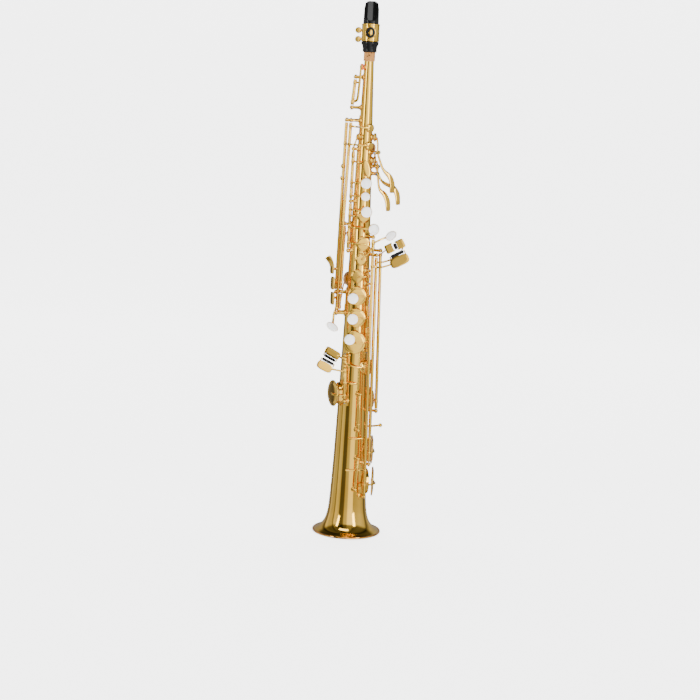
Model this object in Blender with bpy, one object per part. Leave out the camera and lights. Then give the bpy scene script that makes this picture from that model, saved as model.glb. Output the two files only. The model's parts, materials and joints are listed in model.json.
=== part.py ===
"""A straight soprano saxophone, built from its separate pieces.

Lengths in this file are millimetres and angles are degrees until a mesh is finished, when it is
scaled to metres.  The tube's axis is vertical, the bell is at the bottom, and the finger pearls
face -Y.  An angle around the tube is counted from the front (-Y) towards +X.
"""
import math

import bmesh
import bpy
from mathutils import Matrix, Vector

METRES = 0.001

# The tube stands this far from the middle of the whole instrument, whose keys reach unevenly.
TUBE_X = -8.0
TUBE_Y = 0.0

# Outer wall of the tube: height above the floor, radius.  The wall is straight between them.
WALL = [(645.0, 5.6), (618.0, 6.3), (556.0, 8.1), (249.0, 17.0), (170.0, 19.4), (93.0, 21.9),
        (41.0, 24.7), (27.0, 26.3), (17.0, 28.9), (11.0, 32.4), (6.6, 36.6), (3.4, 41.8)]
WALL_THICKNESS = 0.9
BORE_OVERRUN = 2.0
TUBE_SIDES = 28

RIM_RADIUS = 44.0
RIM_HALF_WIDTH = 1.6
RIM_HEIGHT = 3.0

GAP = 0.3
CHIMNEY_RISE = 2.0
CHIMNEY_WALL = 0.9
CUP_HEIGHT = 3.4
PAD_DROP = 0.8
KEY_TUBE_RADIUS = 2.1
KEY_TUBE_BORE = 1.3
STEEL_ROD_RADIUS = 0.95
POST_RADIUS = 1.9
POST_BALL_RADIUS = 2.7
TUBE_END_GAP = POST_BALL_RADIUS + GAP
ARM_WIDTH = 2.4
ARM_THICKNESS = 1.6
PEARL_RADIUS = 7.5
PEARL_THICKNESS = 2.0
HOLDER_THICKNESS = 1.6
TABLE_ROLLER_RADIUS = 2.2
PINKY_ROLLER_RADIUS = 1.9

# Tone holes: angle around the tube, height, outer radius of the drawn chimney, radius of the cup.
HOLES = {
    "high_f_sharp": (28, 538.8, 3.8, 5.6),
    "palm_f": (80, 527.0, 3.8, 5.6),
    "small_c": (-43, 526.7, 3.0, 4.4),
    "high_e": (26, 515.7, 4.0, 5.8),
    "palm_eb": (132, 513.0, 4.2, 6.0),
    "octave_body": (165, 500.0, 2.0, 3.6),
    "palm_d": (85, 497.0, 4.4, 6.2),
    "b": (17, 468.0, 5.4, 7.3),
    "bis": (17, 451.0, 4.4, 6.2),
    "a": (15, 424.7, 6.6, 8.6),
    "side_c": (-125, 400.0, 6.2, 8.2),
    "g": (18, 389.0, 7.6, 9.7),
    "g_sharp": (8, 368.5, 6.2, 8.0),
    "f_sharp": (-8, 346.8, 6.6, 8.6),
    "side_bb": (-125, 340.0, 6.8, 8.8),
    "f": (-4, 321.0, 10.3, 12.5),
    "e": (-3, 292.3, 10.3, 12.5),
    "d": (-6, 260.0, 12.7, 15.0),
    "low_eb": (62, 226.0, 9.4, 11.2),
    "low_c": (-80, 188.4, 14.5, 17.4),
    "low_c_sharp": (120, 180.0, 12.6, 15.0),
    "low_b": (103, 112.0, 16.0, 19.0),
    "low_bb": (100, 69.0, 16.6, 19.6),
}
VENT_HEIGHT = 616.0
VENT_ANGLE = -60
VENT_RADIUS = 1.8
VENT_RISE = 2.2

# Hinge lines as (x, y, z) of a low and a high point, measured from the tube's axis.
LINES = {
    "lh_stack": ((-15.4, -9.5, 378.0), (-14.6, -8.0, 512.0)),
    "rh_stack": ((15.0, -14.2, 247.0), (12.6, -13.4, 357.0)),
    "side_e": ((-28.9, 2.5, 323.5), (-25.2, -2.0, 548.0)),
    "high_f_sharp": ((-27.0, -5.0, 295.5), (-19.6, -6.0, 548.0)),
    "side_low": ((-23.5, 0.0, 297.0), (-21.4, -0.4, 413.5)),
    "pinky": ((-10.4, -22.8, 178.0), (-12.8, -20.2, 244.0)),
    "low_bb": ((21.6, -24.0, 53.0), (17.0, -19.6, 377.0)),
    "low_b": ((25.6, -18.0, 97.0), (22.0, -14.4, 375.0)),
    "low_c_sharp": ((31.8, -8.0, 167.0), (27.0, -7.0, 381.0)),
    "g_sharp": ((17.0, -19.6, 377.0), (16.6, -19.2, 399.0)),
    "octave_neck": ((-19.6, 1.0, 563.0), (-16.2, 1.0, 604.0)),
    "octave_body": ((-7.2, 15.4, 484.0), (-6.8, 14.4, 508.0)),
}

# Neck cork and mouthpiece: heights and radii.
CORK_TOP = 644.0
CORK_FOOT = 623.5
CORK_RADIUS = 7.0
SHANK_FOOT = 635.0
TIP = 700.0
BEAK_LOW = 672.0

# Ligature and its two screws.
LIGATURE_LOW = 649.0
LIGATURE_HIGH = 671.0
LIGATURE_RADIUS = 11.7
SCREW_HEIGHTS = {"ligature_screw_upper": 662.6, "ligature_screw_lower": 651.2}
SCREW_LINE_X = -12.6
SCREW_LINE_Y = 11.6

# Thumb pieces.
THUMB_REST_HEIGHT = 430.0
THUMB_HOOK_HEIGHT = 300.0
STRAP_RING_HEIGHT = 345.0
STRAP_RING_RADIUS = 6.2
THUMB_LEVER_HEIGHT = 462.0

# Fixed rods beside the low keys' feet, as a low and a high point.
GUARD_RODS = {"guard_rod_upper": ((9.6, -24.0, 191.5), (9.6, -25.4, 143.5)),
              "guard_rod_lower": ((11.6, -25.4, 105.0), (9.4, -27.6, 63.5))}

# Facing of the side touches; half width, facing and route of the palm levers.
SIDE_FACE = Vector((-0.9, -0.42, 0.0)).normalized()
PALM_HALF = 4.0
PALM_FACE = Vector((0.56, -0.83, 0.0))
PALMS = {
    "key_palm_f": ("palm_f", (15.8, -5.6, 507.5),
                   [(24.8, -10.0, 485.7), (34.6, -9.4, 477.5), (38.0, -8.6, 468.0),
                    (37.6, -8.2, 456.5)]),
    "key_palm_eb": ("palm_eb", (14.0, 12.0, 489.0),
                    [(24.0, 11.0, 468.8), (40.0, 8.0, 462.5), (45.6, 8.0, 454.0),
                     (47.0, 8.0, 440.0)]),
    "key_palm_d": ("palm_d", (17.4, -1.4, 480.0),
                   [(21.2, -1.0, 459.6), (29.0, 0.6, 453.5), (33.4, 1.4, 444.0),
                    (34.4, 1.8, 431.7)]),
}

# Left and right little fingers' touch groups: centre, tilt in degrees and facing.
TABLE_CENTRE = Vector((46.6, -16.0, 388.5))
TABLE_TILT = 29.0
TABLE_NORMAL = Vector((0.12, -1.0, 0.10)).normalized()
PINKY_CENTRE = Vector((-33.2, -19.0, 236.2))
PINKY_TILT = -27.0
PINKY_NORMAL = Vector((-0.12, -1.0, 0.10)).normalized()


def rim_of(angle):
    """Unit vector pointing away from the tube's axis at an angle around it."""
    turn = math.radians(angle)
    return Vector((math.sin(turn), -math.cos(turn), 0.0))


def spot(angle, radius, height):
    """Point at an angle, a distance from the tube's axis and a height."""
    return rim_of(angle) * radius + Vector((0.0, 0.0, height))


def wall_radius(height):
    """Outer radius of the tube at a height."""
    for (upper, upper_radius), (lower, lower_radius) in zip(WALL, WALL[1:]):
        if height >= lower:
            share = (height - lower) / (upper - lower)
            return lower_radius + share * (upper_radius - lower_radius)
    return WALL[-1][1]


def on_line(name, height):
    """Point of a hinge line at a height."""
    low, high = (Vector(point) for point in LINES[name])
    return low.lerp(high, (height - low.z) / (high.z - low.z))


def frame_at(origin, normal, along=None):
    """Matrix whose Z axis is the normal and whose X axis leans towards `along`."""
    z_axis = Vector(normal).normalized()
    guide = Vector(along) if along else Vector((0.0, 0.0, 1.0))
    if abs(guide.normalized().dot(z_axis)) > 0.99:
        guide = Vector((1.0, 0.0, 0.0))
    x_axis = (guide - z_axis * guide.dot(z_axis)).normalized()
    y_axis = z_axis.cross(x_axis)
    turn = Matrix((x_axis, y_axis, z_axis)).transposed().to_4x4()
    return Matrix.Translation(origin) @ turn


# Solids.  Each function returns a closed bmesh in millimetres.

def skin(rings, ring_closed):
    """Closed mesh through rings of points; a ring of one point is a pole."""
    mesh = bmesh.new()
    loops = [[mesh.verts.new(point) for point in ring] for ring in rings]
    following = loops[1:] + loops[:1] if ring_closed else loops[1:]
    for first, second in zip(loops, following):
        count = max(len(first), len(second))
        for index in range(count):
            after = (index + 1) % count
            corners = [first[index % len(first)], first[after % len(first)],
                       second[after % len(second)], second[index % len(second)]]
            mesh.faces.new(list(dict.fromkeys(corners)))
    if not ring_closed:
        for end in (loops[0], loops[-1]):
            if len(end) > 2:
                mesh.faces.new(end)
    bmesh.ops.recalc_face_normals(mesh, faces=mesh.faces)
    return mesh


def lathe(profile, sides, frame=None, hollow=False):
    """Solid of revolution about Z from (radius, height) points; hollow closes the profile."""
    rings = []
    for radius, height in profile:
        if radius == 0.0:
            rings.append([Vector((0.0, 0.0, height))])
            continue
        turns = (2.0 * math.pi * index / sides for index in range(sides))
        rings.append([Vector((radius * math.cos(turn), radius * math.sin(turn), height))
                      for turn in turns])
    mesh = skin(rings, hollow)
    if frame:
        mesh.transform(frame)
    return mesh


def rod(start, end, radius, sides=8, bore=0.0):
    """Round bar between two points, or a pipe when it has a bore."""
    start, end = Vector(start), Vector(end)
    length = (end - start).length
    frame = frame_at(start, end - start)
    if bore:
        profile = [(radius, length), (radius, 0.0), (bore, 0.0), (bore, length)]
        return lathe(profile, sides, frame, hollow=True)
    return lathe([(radius, length), (radius, 0.0)], sides, frame)


def ball(centre, radius, sides=6, bands=3):
    """Faceted ball."""
    turns = [math.pi * band / bands for band in range(bands + 1)]
    profile = [(radius * math.sin(turn), radius * math.cos(turn)) for turn in turns[1:-1]]
    profile = [(0.0, radius)] + profile + [(0.0, -radius)]
    return lathe(profile, sides, Matrix.Translation(centre))


def bar(points, face, widths=(ARM_WIDTH,), thickness=ARM_THICKNESS):
    """Flat bar along points; `face` is the direction its broad side looks in."""
    points = [Vector(point) for point in points]
    face = Vector(face)
    rings = []
    for index, point in enumerate(points):
        before = points[max(index - 1, 0)]
        after = points[min(index + 1, len(points) - 1)]
        heading = (after - before).normalized()
        across = heading.cross(face).normalized()
        rise = across.cross(heading)
        width = widths[min(index, len(widths) - 1)]
        across = across * (width / 2.0)
        rise = rise * (thickness / 2.0)
        rings.append([point + across + rise, point - across + rise,
                      point - across - rise, point + across - rise])
    return skin(rings, False)


def plate(origin, normal, along, length, width, thickness, squareness=5.0, sides=14):
    """Plate with a superellipse outline; squareness 2 is an oval, 5 a rounded rectangle."""
    outline = []
    for index in range(sides):
        turn = 2.0 * math.pi * (index + 0.5) / sides
        reach = [math.copysign(abs(value) ** (2.0 / squareness), value)
                 for value in (math.cos(turn), math.sin(turn))]
        outline.append((reach[0] * length / 2.0, reach[1] * width / 2.0))
    rings = [[Vector((x, y, level)) for x, y in outline]
             for level in (thickness / 2.0, -thickness / 2.0)]
    mesh = skin(rings, False)
    mesh.transform(frame_at(origin, normal, along))
    return mesh


# Objects.

def material(name, colour, roughness, metallic):
    """Principled material of one colour."""
    made = bpy.data.materials.new(name)
    made.use_nodes = True
    shader = made.node_tree.nodes["Principled BSDF"]
    shader.inputs["Base Color"].default_value = (*colour, 1.0)
    shader.inputs["Roughness"].default_value = roughness
    shader.inputs["Metallic"].default_value = metallic
    return made


def raw_object(name, mesh):
    """Object that holds a bmesh as it is."""
    data = bpy.data.meshes.new(name)
    mesh.to_mesh(data)
    mesh.free()
    made = bpy.data.objects.new(name, data)
    bpy.context.scene.collection.objects.link(made)
    return made


def combine(target, shapes, operation):
    """Exact boolean of an object with each shape in turn."""
    for shape in shapes:
        tool = raw_object("tool", shape)
        step = target.modifiers.new("Boolean", "BOOLEAN")
        step.operation = operation
        step.solver = "EXACT"
        step.object = tool
        graph = bpy.context.evaluated_depsgraph_get()
        before = target.data
        target.data = bpy.data.meshes.new_from_object(target.evaluated_get(graph))
        target.modifiers.remove(step)
        bpy.data.meshes.remove(before)
        tool_data = tool.data
        bpy.data.objects.remove(tool)
        bpy.data.meshes.remove(tool_data)


def solid(name, shapes, look, cuts=(), origin=(0.0, 0.0, 0.0), turn=None):
    """One sub-part: shapes fused into one skin, cut, turned about its origin and placed."""
    made = raw_object(name, shapes[0])
    if len(shapes) > 1:
        combine(made, shapes[1:], "UNION")
    if cuts:
        combine(made, cuts, "DIFFERENCE")
    mesh = bmesh.new()
    mesh.from_mesh(made.data)
    bmesh.ops.remove_doubles(mesh, verts=mesh.verts, dist=0.001)
    bmesh.ops.triangulate(mesh, faces=mesh.faces)
    mesh.transform(Matrix.Translation(-Vector(origin)))
    if turn:
        mesh.transform(turn)
    mesh.transform(Matrix.Scale(METRES, 4))
    mesh.to_mesh(made.data)
    mesh.free()
    made.data.materials.clear()
    made.data.materials.append(look)
    made.data.shade_smooth()
    made.data.set_sharp_from_angle(angle=math.radians(35.0))
    made.location = Vector(origin) * METRES
    made.parent = STAND
    return made


class Key:
    """A key on a hinge line.  It is drawn with its pad closed and then swung to its rest."""

    def __init__(self, name, line, span, bore=0.0):
        self.name = name
        self.line = line
        self.low = on_line(line, span[0])
        self.high = on_line(line, span[1])
        self.bore = bore
        self.shapes = [rod(self.low, self.high, KEY_TUBE_RADIUS, 10, bore)]

    def arm(self, height, points, widths=(ARM_WIDTH,), thickness=ARM_THICKNESS, face=None):
        """Arm that leaves the hinge tube at a height and runs through points."""
        centre = on_line(self.line, height)
        points = [Vector(point) for point in points]
        root = centre + (points[0] - centre).normalized() * (KEY_TUBE_RADIUS - 0.4)
        middle = (centre + points[-1]) / 2.0
        look = face or Vector((middle.x, middle.y, 0.0))
        self.shapes.append(bar([root] + points, look, widths, thickness))
        return self

    def cup(self, hole):
        """Pad cup over a tone hole, with its pad."""
        self.shapes.append(cup_solid(*(HOLES[hole][index] for index in (0, 1, 3))))
        return self

    def holder(self, centre, normal, radius=PEARL_RADIUS - 0.9):
        """Round seat under a finger pearl, whose face is at `centre`."""
        centre = Vector(centre)
        back = centre - Vector(normal).normalized() * HOLDER_THICKNESS
        self.shapes.append(rod(back, centre, radius, 14))
        return self

    def add(self, shape):
        """Adds any other shape."""
        self.shapes.append(shape)
        return self

    def swing(self, degrees):
        """Matrix that turns a point about the hinge line from closed to rest."""
        heading = (self.high - self.low).normalized()
        return Matrix.Rotation(math.radians(degrees), 4, heading)

    def build(self, rest=0.0, cuts=()):
        """Makes the key's object, swung `rest` degrees about its line from closed."""
        turn = self.swing(rest)
        KEYS[self.name] = (self.low.copy(), self.high.copy(), rest)
        return solid(self.name, self.shapes, BRASS, cuts, origin=self.low, turn=turn)

    def pearl(self, name, centre, normal, rest=0.0, length=2 * PEARL_RADIUS, width=None,
              along=None):
        """Finger pearl that lies on this key's seat."""
        normal = Vector(normal).normalized()
        face = Vector(centre) + normal * GAP
        crown = 0.35 * PEARL_THICKNESS
        profile = [(0.0, PEARL_THICKNESS), (0.62, PEARL_THICKNESS - 0.25 * crown),
                   (0.92, PEARL_THICKNESS - crown), (1.0, 0.4 * PEARL_THICKNESS), (1.0, 0.0)]
        shape = lathe([(radius * length / 2.0, height) for radius, height in profile], 12)
        if width:
            shape.transform(Matrix.Diagonal((1.0, width / length, 1.0, 1.0)))
        shape.transform(frame_at(face, normal, along))
        return solid(name, [shape], PEARL, origin=self.low, turn=self.swing(rest))


def cup_solid(angle, height, radius):
    """Cup with a rounded crown and its pad, just clear of the chimney's rim."""
    seat = wall_radius(height) + CHIMNEY_RISE + GAP
    sides = 12 if radius < 11.0 else 18
    profile = [(0.0, CUP_HEIGHT), (0.8 * radius, CUP_HEIGHT - 0.3), (radius, CUP_HEIGHT - 1.4),
               (radius, PAD_DROP), (radius - 0.7, PAD_DROP), (radius - 0.7, 0.0)]
    return lathe(profile, sides, frame_at(spot(angle, seat, height), rim_of(angle)))


def crown(hole, offset=0.0, beyond=0.5):
    """Point on the crown of a cup, `offset` round the tube from its middle."""
    angle, height = HOLES[hole][:2]
    level = wall_radius(height) + CHIMNEY_RISE + GAP + CUP_HEIGHT + beyond
    tangent = Vector((math.cos(math.radians(angle)), math.sin(math.radians(angle)), 0.0))
    return spot(angle, level, height) + tangent * offset


# Fixed pieces.

def post(point):
    """Post with a ball, from the tube's wall out to a hinge line's point."""
    point = Vector(point)
    level = Vector((0.0, 0.0, point.z))
    outward = (point - level).normalized()
    wall = wall_radius(point.z)
    return [rod(level + outward * (wall - 0.5), point, POST_RADIUS, 5),
            ball(point, POST_BALL_RADIUS)]


def post_points():
    """Every point of the hinge lines that a post holds."""
    held = [("lh_stack", (379.0, 443.5, 511.0)), ("rh_stack", (249.0, 337.0, 354.0)),
            ("side_e", (322.7, 547.5)), ("high_f_sharp", (295.5, 547.5)),
            ("side_low", (297.0, 323.5, 413.0)), ("pinky", (181.0, 227.5, 241.5)),
            ("low_bb", (54.0, 377.0)), ("low_b", (97.0, 375.0)),
            ("low_c_sharp", (167.5, 380.5)), ("g_sharp", (399.0,)),
            ("octave_neck", (564.0, 603.0)), ("octave_body", (484.0, 508.0))]
    points = [on_line(line, height) for line, heights in held for height in heights]
    for low, high in PALM_PIVOTS.values():
        points += [low, high]
    points += THUMB_PIVOT
    for low, high in GUARD_RODS.values():
        points += [Vector(low), Vector(high)]
    return points


def make_body():
    """Conical tube and bell with drawn chimneys, posts, bores for the steel rods and a vent."""
    outer = [(radius, height) for height, radius in WALL]
    top, bottom = WALL[0][0], WALL[-1][0]
    inner = [(radius - WALL_THICKNESS, height) for height, radius in WALL[1:-1]]
    inner = [(WALL[0][1] - WALL_THICKNESS, top + BORE_OVERRUN)] + inner
    inner.append((WALL[-1][1] - WALL_THICKNESS, bottom))
    inner.append((WALL[-1][1] - WALL_THICKNESS, bottom - BORE_OVERRUN))
    shapes = [lathe(outer, TUBE_SIDES)]
    cuts = [lathe(inner, TUBE_SIDES)]
    for angle, height, chimney, radius in HOLES.values():
        rim = wall_radius(height) + CHIMNEY_RISE
        sides = 10 if chimney < 9.0 else 16
        deep = wall_radius(height) * 0.55
        shapes.append(rod(spot(angle, deep, height), spot(angle, rim, height), chimney, sides))
        cuts.append(rod(spot(angle, 0.0, height), spot(angle, rim + 1.0, height),
                        chimney - CHIMNEY_WALL, sides))
    vent_rim = wall_radius(VENT_HEIGHT) + VENT_RISE
    shapes.append(rod(spot(VENT_ANGLE, 4.0, VENT_HEIGHT), spot(VENT_ANGLE, vent_rim, VENT_HEIGHT),
                      VENT_RADIUS, 8))
    cuts.append(rod(spot(VENT_ANGLE, 0.0, VENT_HEIGHT),
                    spot(VENT_ANGLE, vent_rim + 1.0, VENT_HEIGHT), VENT_RADIUS - 1.0, 8))
    for point in post_points():
        shapes += post(point)
    for line in ("lh_stack", "rh_stack"):
        low, high = (Vector(point) for point in LINES[line])
        reach = (high - low).normalized() * 8.0
        cuts.append(rod(low - reach, high + reach, KEY_TUBE_BORE, 8))
    solid("body_tube", shapes, BRASS, cuts)


def make_rim():
    """Rolled ring that stiffens the bell's edge and that the instrument stands on."""
    edge = RIM_HALF_WIDTH
    profile = [(RIM_RADIUS - edge, RIM_HEIGHT), (RIM_RADIUS + edge - 0.8, RIM_HEIGHT),
               (RIM_RADIUS + edge, RIM_HEIGHT - 0.8), (RIM_RADIUS + edge, 0.6),
               (RIM_RADIUS + edge - 0.6, 0.0), (RIM_RADIUS - edge, 0.0)]
    solid("bell_rim_ring", [lathe(profile, 40, hollow=True)], COPPER)


def make_cork():
    """Cork sleeve glued round the top of the tube."""
    inner_top = wall_radius(CORK_TOP) + GAP
    inner_foot = wall_radius(CORK_FOOT) + GAP
    profile = [(CORK_RADIUS - 0.5, CORK_TOP), (CORK_RADIUS, CORK_TOP - 1.0),
               (CORK_RADIUS, CORK_FOOT + 0.5), (CORK_RADIUS - 0.4, CORK_FOOT),
               (inner_foot, CORK_FOOT), (inner_top, CORK_TOP)]
    solid("neck_cork", [lathe(profile, 24, hollow=True)], CORK)


def make_mouthpiece():
    """Hollow mouthpiece: ringed shank, barrel, and a beak that slopes down to the tip."""
    profile = [(4.4, TIP), (8.6, TIP - 3.0), (9.6, TIP - 12.0), (10.1, BEAK_LOW),
               (10.3, LIGATURE_LOW), (11.4, 647.6), (11.3, 645.4), (9.6, 642.4),
               (9.1, SHANK_FOOT + 0.6), (8.6, SHANK_FOOT)]
    body = lathe(profile, 24)
    bore = [lathe([(4.6, 678.0), (5.2, 655.0), (CORK_RADIUS + GAP, 652.0),
                   (CORK_RADIUS + GAP, SHANK_FOOT - 2.0)], 20)]
    slope_foot = BEAK_LOW + 2.0
    beak = [Vector((0.0, -11.0, slope_foot)), Vector((0.0, -22.0, slope_foot)),
            Vector((0.0, -22.0, TIP + 4.0)), Vector((0.0, 5.0, TIP + 4.0))]
    table = [Vector((0.0, 6.4, LIGATURE_LOW - 3.0)), Vector((0.0, 6.4, TIP + 4.0)),
             Vector((0.0, 22.0, TIP + 4.0)), Vector((0.0, 22.0, LIGATURE_LOW - 3.0))]
    cuts = []
    for outline in (beak, table):
        rings = [[point + Vector((side, 0.0, 0.0)) for point in outline] for side in (-20.0, 20.0)]
        cuts.append(skin(rings, False))
    window = bar([(0.0, 4.0, 666.0), (0.0, 4.6, 690.0)], (0.0, 1.0, 0.0), (8.0,), 9.0)
    solid("mouthpiece", [body], EBONITE, bore + cuts + [window])


def make_reed():
    """Cane reed on the table: a thick heel that thins to the tip."""
    outline = [(652.0, 2.6), (676.0, 2.6), (697.5, 0.5)]
    rings = []
    for height, depth in outline:
        back = 6.4 + GAP
        rings.append([Vector((-6.2, back, height)), Vector((6.2, back, height)),
                      Vector((4.6, back + depth, height)), Vector((-4.6, back + depth, height))])
    solid("reed", [skin(rings, False)], CANE)


def make_ligature():
    """Split band round the mouthpiece with a plain oval plate and two screw lugs."""
    band = [(LIGATURE_RADIUS, LIGATURE_HIGH), (LIGATURE_RADIUS, LIGATURE_LOW),
            (LIGATURE_RADIUS - 1.0, LIGATURE_LOW), (LIGATURE_RADIUS - 1.0, LIGATURE_HIGH)]
    shapes = [lathe(band, 28, hollow=True)]
    shapes.append(plate((0.0, -LIGATURE_RADIUS - 0.1, 660.0), (0.0, -1.0, 0.0), (1.0, 0.0, 0.0),
                        12.0, 15.0, 1.6, 2.0))
    for height in SCREW_HEIGHTS.values():
        shapes.append(bar([(3.0, SCREW_LINE_Y, height), (7.0, SCREW_LINE_Y, height)],
                          (0.0, 1.0, 0.0), (4.0,), 3.6))
    solid("ligature", shapes, BRASS)


def make_ligature_screws():
    """Thumbscrews that close the ligature, with flat finger heads."""
    for name, height in SCREW_HEIGHTS.items():
        inner = Vector((2.6, SCREW_LINE_Y + 2.6, height))
        outer = Vector((SCREW_LINE_X, SCREW_LINE_Y + 2.6, height))
        head = plate(outer - Vector((3.0, 0.0, 0.0)), (0.0, 1.0, 0.0), (1.0, 0.0, 0.0),
                     8.4, 8.0, 1.8, 2.0)
        solid(name, [rod(inner, outer, 1.1, 8), head], BRASS, origin=outer)


def make_thumb_pieces():
    """Left thumb's button, right thumb's hook with its screw plate, and the strap ring."""
    wall = wall_radius(THUMB_REST_HEIGHT) + GAP
    button = frame_at(spot(180, wall, THUMB_REST_HEIGHT), rim_of(180))
    solid("thumb_rest", [lathe([(5.4, 3.6), (6.4, 2.8), (6.4, 1.2), (3.2, 0.0)], 18, button)],
          RESIN)
    wall = wall_radius(THUMB_HOOK_HEIGHT) + GAP + 0.6
    low, high = THUMB_HOOK_HEIGHT - 8.0, THUMB_HOOK_HEIGHT + 8.0
    base = bar([(0.0, wall, low), (0.0, wall - 0.45, high)], (0.0, 1.0, 0.0), (9.0,), 1.2)
    hook = bar([(-1.0, wall - 0.2, THUMB_HOOK_HEIGHT - 1.0), (-1.5, wall + 6.0, THUMB_HOOK_HEIGHT - 1.0),
                (-4.0, wall + 13.0, THUMB_HOOK_HEIGHT - 1.0),
                (-10.0, wall + 17.0, THUMB_HOOK_HEIGHT - 1.0),
                (-17.0, wall + 16.5, THUMB_HOOK_HEIGHT - 1.0)], (0.3, -1.0, 0.0), (9.0,), 1.8)
    solid("thumb_hook", [base, hook], BRASS)
    wall = wall_radius(STRAP_RING_HEIGHT) + GAP
    centre = Vector((0.0, wall + STRAP_RING_RADIUS + 1.6, STRAP_RING_HEIGHT))
    ring = []
    for index in range(16):
        turn = 2.0 * math.pi * index / 16
        out = Vector((0.0, math.cos(turn), math.sin(turn)))
        middle = centre + out * STRAP_RING_RADIUS
        around = [Vector((math.cos(step), 0.0, 0.0)) + out * math.sin(step)
                  for step in (2.0 * math.pi * side / 6 for side in range(6))]
        ring.append([middle + way * 1.3 for way in around])
    foot = bar([(0.0, wall + 0.6, STRAP_RING_HEIGHT - 7.0), (0.0, wall + 0.2, STRAP_RING_HEIGHT + 7.0)],
               (0.0, 1.0, 0.0), (6.0,), 1.2)
    stem = rod((0.0, wall + 0.6, STRAP_RING_HEIGHT), (0.0, wall + 1.8, STRAP_RING_HEIGHT), 1.6, 8)
    solid("strap_ring", [skin(ring, True), foot, stem], BRASS)


def make_fixed_rods():
    """Steel rods that carry the stack keys, and the rods that the low keys' feet lie beside."""
    for name, line, low, high in (("lh_stack_rod", "lh_stack", 376.0, 513.6),
                                  ("rh_stack_rod", "rh_stack", 246.2, 356.6)):
        solid(name, [rod(on_line(line, low), on_line(line, high), STEEL_ROD_RADIUS, 8)], STEEL)
    for name, (low, high) in GUARD_RODS.items():
        low, high = Vector(low), Vector(high)
        inset = (high - low).normalized() * TUBE_END_GAP
        solid(name, [rod(low + inset, high - inset, 1.5, 8)], BRASS)


# Keys.

def lh_stack_keys():
    """Left hand's keys on the front stack rod: B, bis, A, G, the small C cup and the front F."""
    rest = -8.0
    key = Key("key_small_c", "lh_stack", (499.2, 507.9), KEY_TUBE_BORE)
    key.arm(503.0, [(-14.4, -14.6, 503.6), (-13.4, -15.0, 514.0), crown("small_c", 0.9, 0.45)])
    key.cup("small_c").build(rest)

    key = Key("key_front_f", "lh_stack", (490.8, 498.9), KEY_TUBE_BORE)
    touch = Vector((3.4, -20.6, 487.0))
    key.arm(495.0, [(-9.0, -18.5, 495.0), (2.0, -20.4, 492.0)])
    key.add(plate(touch, (0.1, -1.0, 0.1), (0.24, 0.0, -1.0), 23.0, 8.6, 1.8, 2.0)).build(0.0)

    key = Key("key_b", "lh_stack", (460.3, 490.5), KEY_TUBE_BORE)
    seat = crown("b", 0.0, HOLDER_THICKNESS + 1.0)
    key.arm(468.0, [(-9.5, -19.0, 468.0), crown("b", -1.0, 0.6)]).cup("b")
    key.holder(seat, rim_of(12)).build(rest)
    key.pearl("pearl_b", seat, rim_of(12), rest, length=14.6)

    key = Key("key_bis", "lh_stack", (446.7, 460.0), KEY_TUBE_BORE)
    seat = crown("bis", 0.0, HOLDER_THICKNESS + 0.4)
    key.arm(451.0, [(-9.5, -19.0, 451.0), crown("bis", -1.0, 0.5)]).cup("bis")
    key.holder(seat, rim_of(12), 5.2).build(rest)
    key.pearl("pearl_bis", seat, rim_of(12), rest, length=12.4)

    key = Key("key_a", "lh_stack", (414.1, 440.3), KEY_TUBE_BORE)
    seat = crown("a", 2.6, HOLDER_THICKNESS + 1.6) + Vector((0.0, 0.0, 6.6))
    key.arm(425.0, [(-9.5, -19.4, 425.0), crown("a", -1.0, 0.6)])
    key.arm(433.0, [(-9.5, -21.0, 433.0), seat + Vector((-2.0, 1.2, 0.0))]).cup("a")
    key.holder(seat, rim_of(14)).build(rest)
    key.pearl("pearl_a", seat, rim_of(14), rest)

    key = Key("key_g", "lh_stack", (382.1, 413.8), KEY_TUBE_BORE)
    seat = Vector((18.4, -20.4, 409.5))
    key.arm(389.5, [(-9.5, -20.5, 389.5), crown("g", -2.0, 0.6), crown("g", 3.0, 0.6)]).cup("g")
    key.arm(410.5, [(-9.5, -21.6, 410.5), (2.0, -23.0, 410.0), seat + Vector((-1.0, 0.9, 0.0))])
    key.holder(seat, rim_of(28)).build(rest)
    key.pearl("pearl_g", seat, rim_of(28), rest)


def rh_stack_keys():
    """Right hand's keys on the front stack rod: F, E, D and the F sharp cup that follows."""
    rest = 8.5
    key = Key("key_f_sharp_cup", "rh_stack", (340.1, 350.9), KEY_TUBE_BORE)
    key.arm(346.8, [(9.5, -21.0, 346.8), crown("f_sharp", 0.0, 0.6)]).cup("f_sharp").build(rest)
    rows = (("f", 308.2, 333.9, 321.0, -5.6, -2.8), ("e", 279.2, 307.9, 292.3, -5.2, -1.2),
            ("d", 252.1, 278.9, 260.0, -6.6, 4.2))
    for hole, low, high, height, across, up in rows:
        key = Key("key_" + hole, "rh_stack", (low, high), KEY_TUBE_BORE)
        level = crown(hole, 0.0, 0.6)
        key.arm(height, [(11.0, level.y - 1.4, height), crown(hole, 5.0, 0.6), level])
        seat = crown(hole, across, HOLDER_THICKNESS - 0.3) + Vector((0.0, 0.0, up))
        key.cup(hole).holder(seat, rim_of(HOLES[hole][0])).build(rest)
        key.pearl("pearl_" + hole, seat, rim_of(HOLES[hole][0]), rest)


def side_touch(key, centre, route, length):
    """Paddle for the side of the right hand, on an arm that passes between the long tubes."""
    centre = Vector(centre)
    key.add(plate(centre, SIDE_FACE, (0.0, 0.0, 1.0), length, 11.0, 2.2, 4.0))
    key.arm(centre.z, route + [centre], (2.0,), face=Vector((0.0, 0.0, 1.0)), thickness=3.4)


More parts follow.
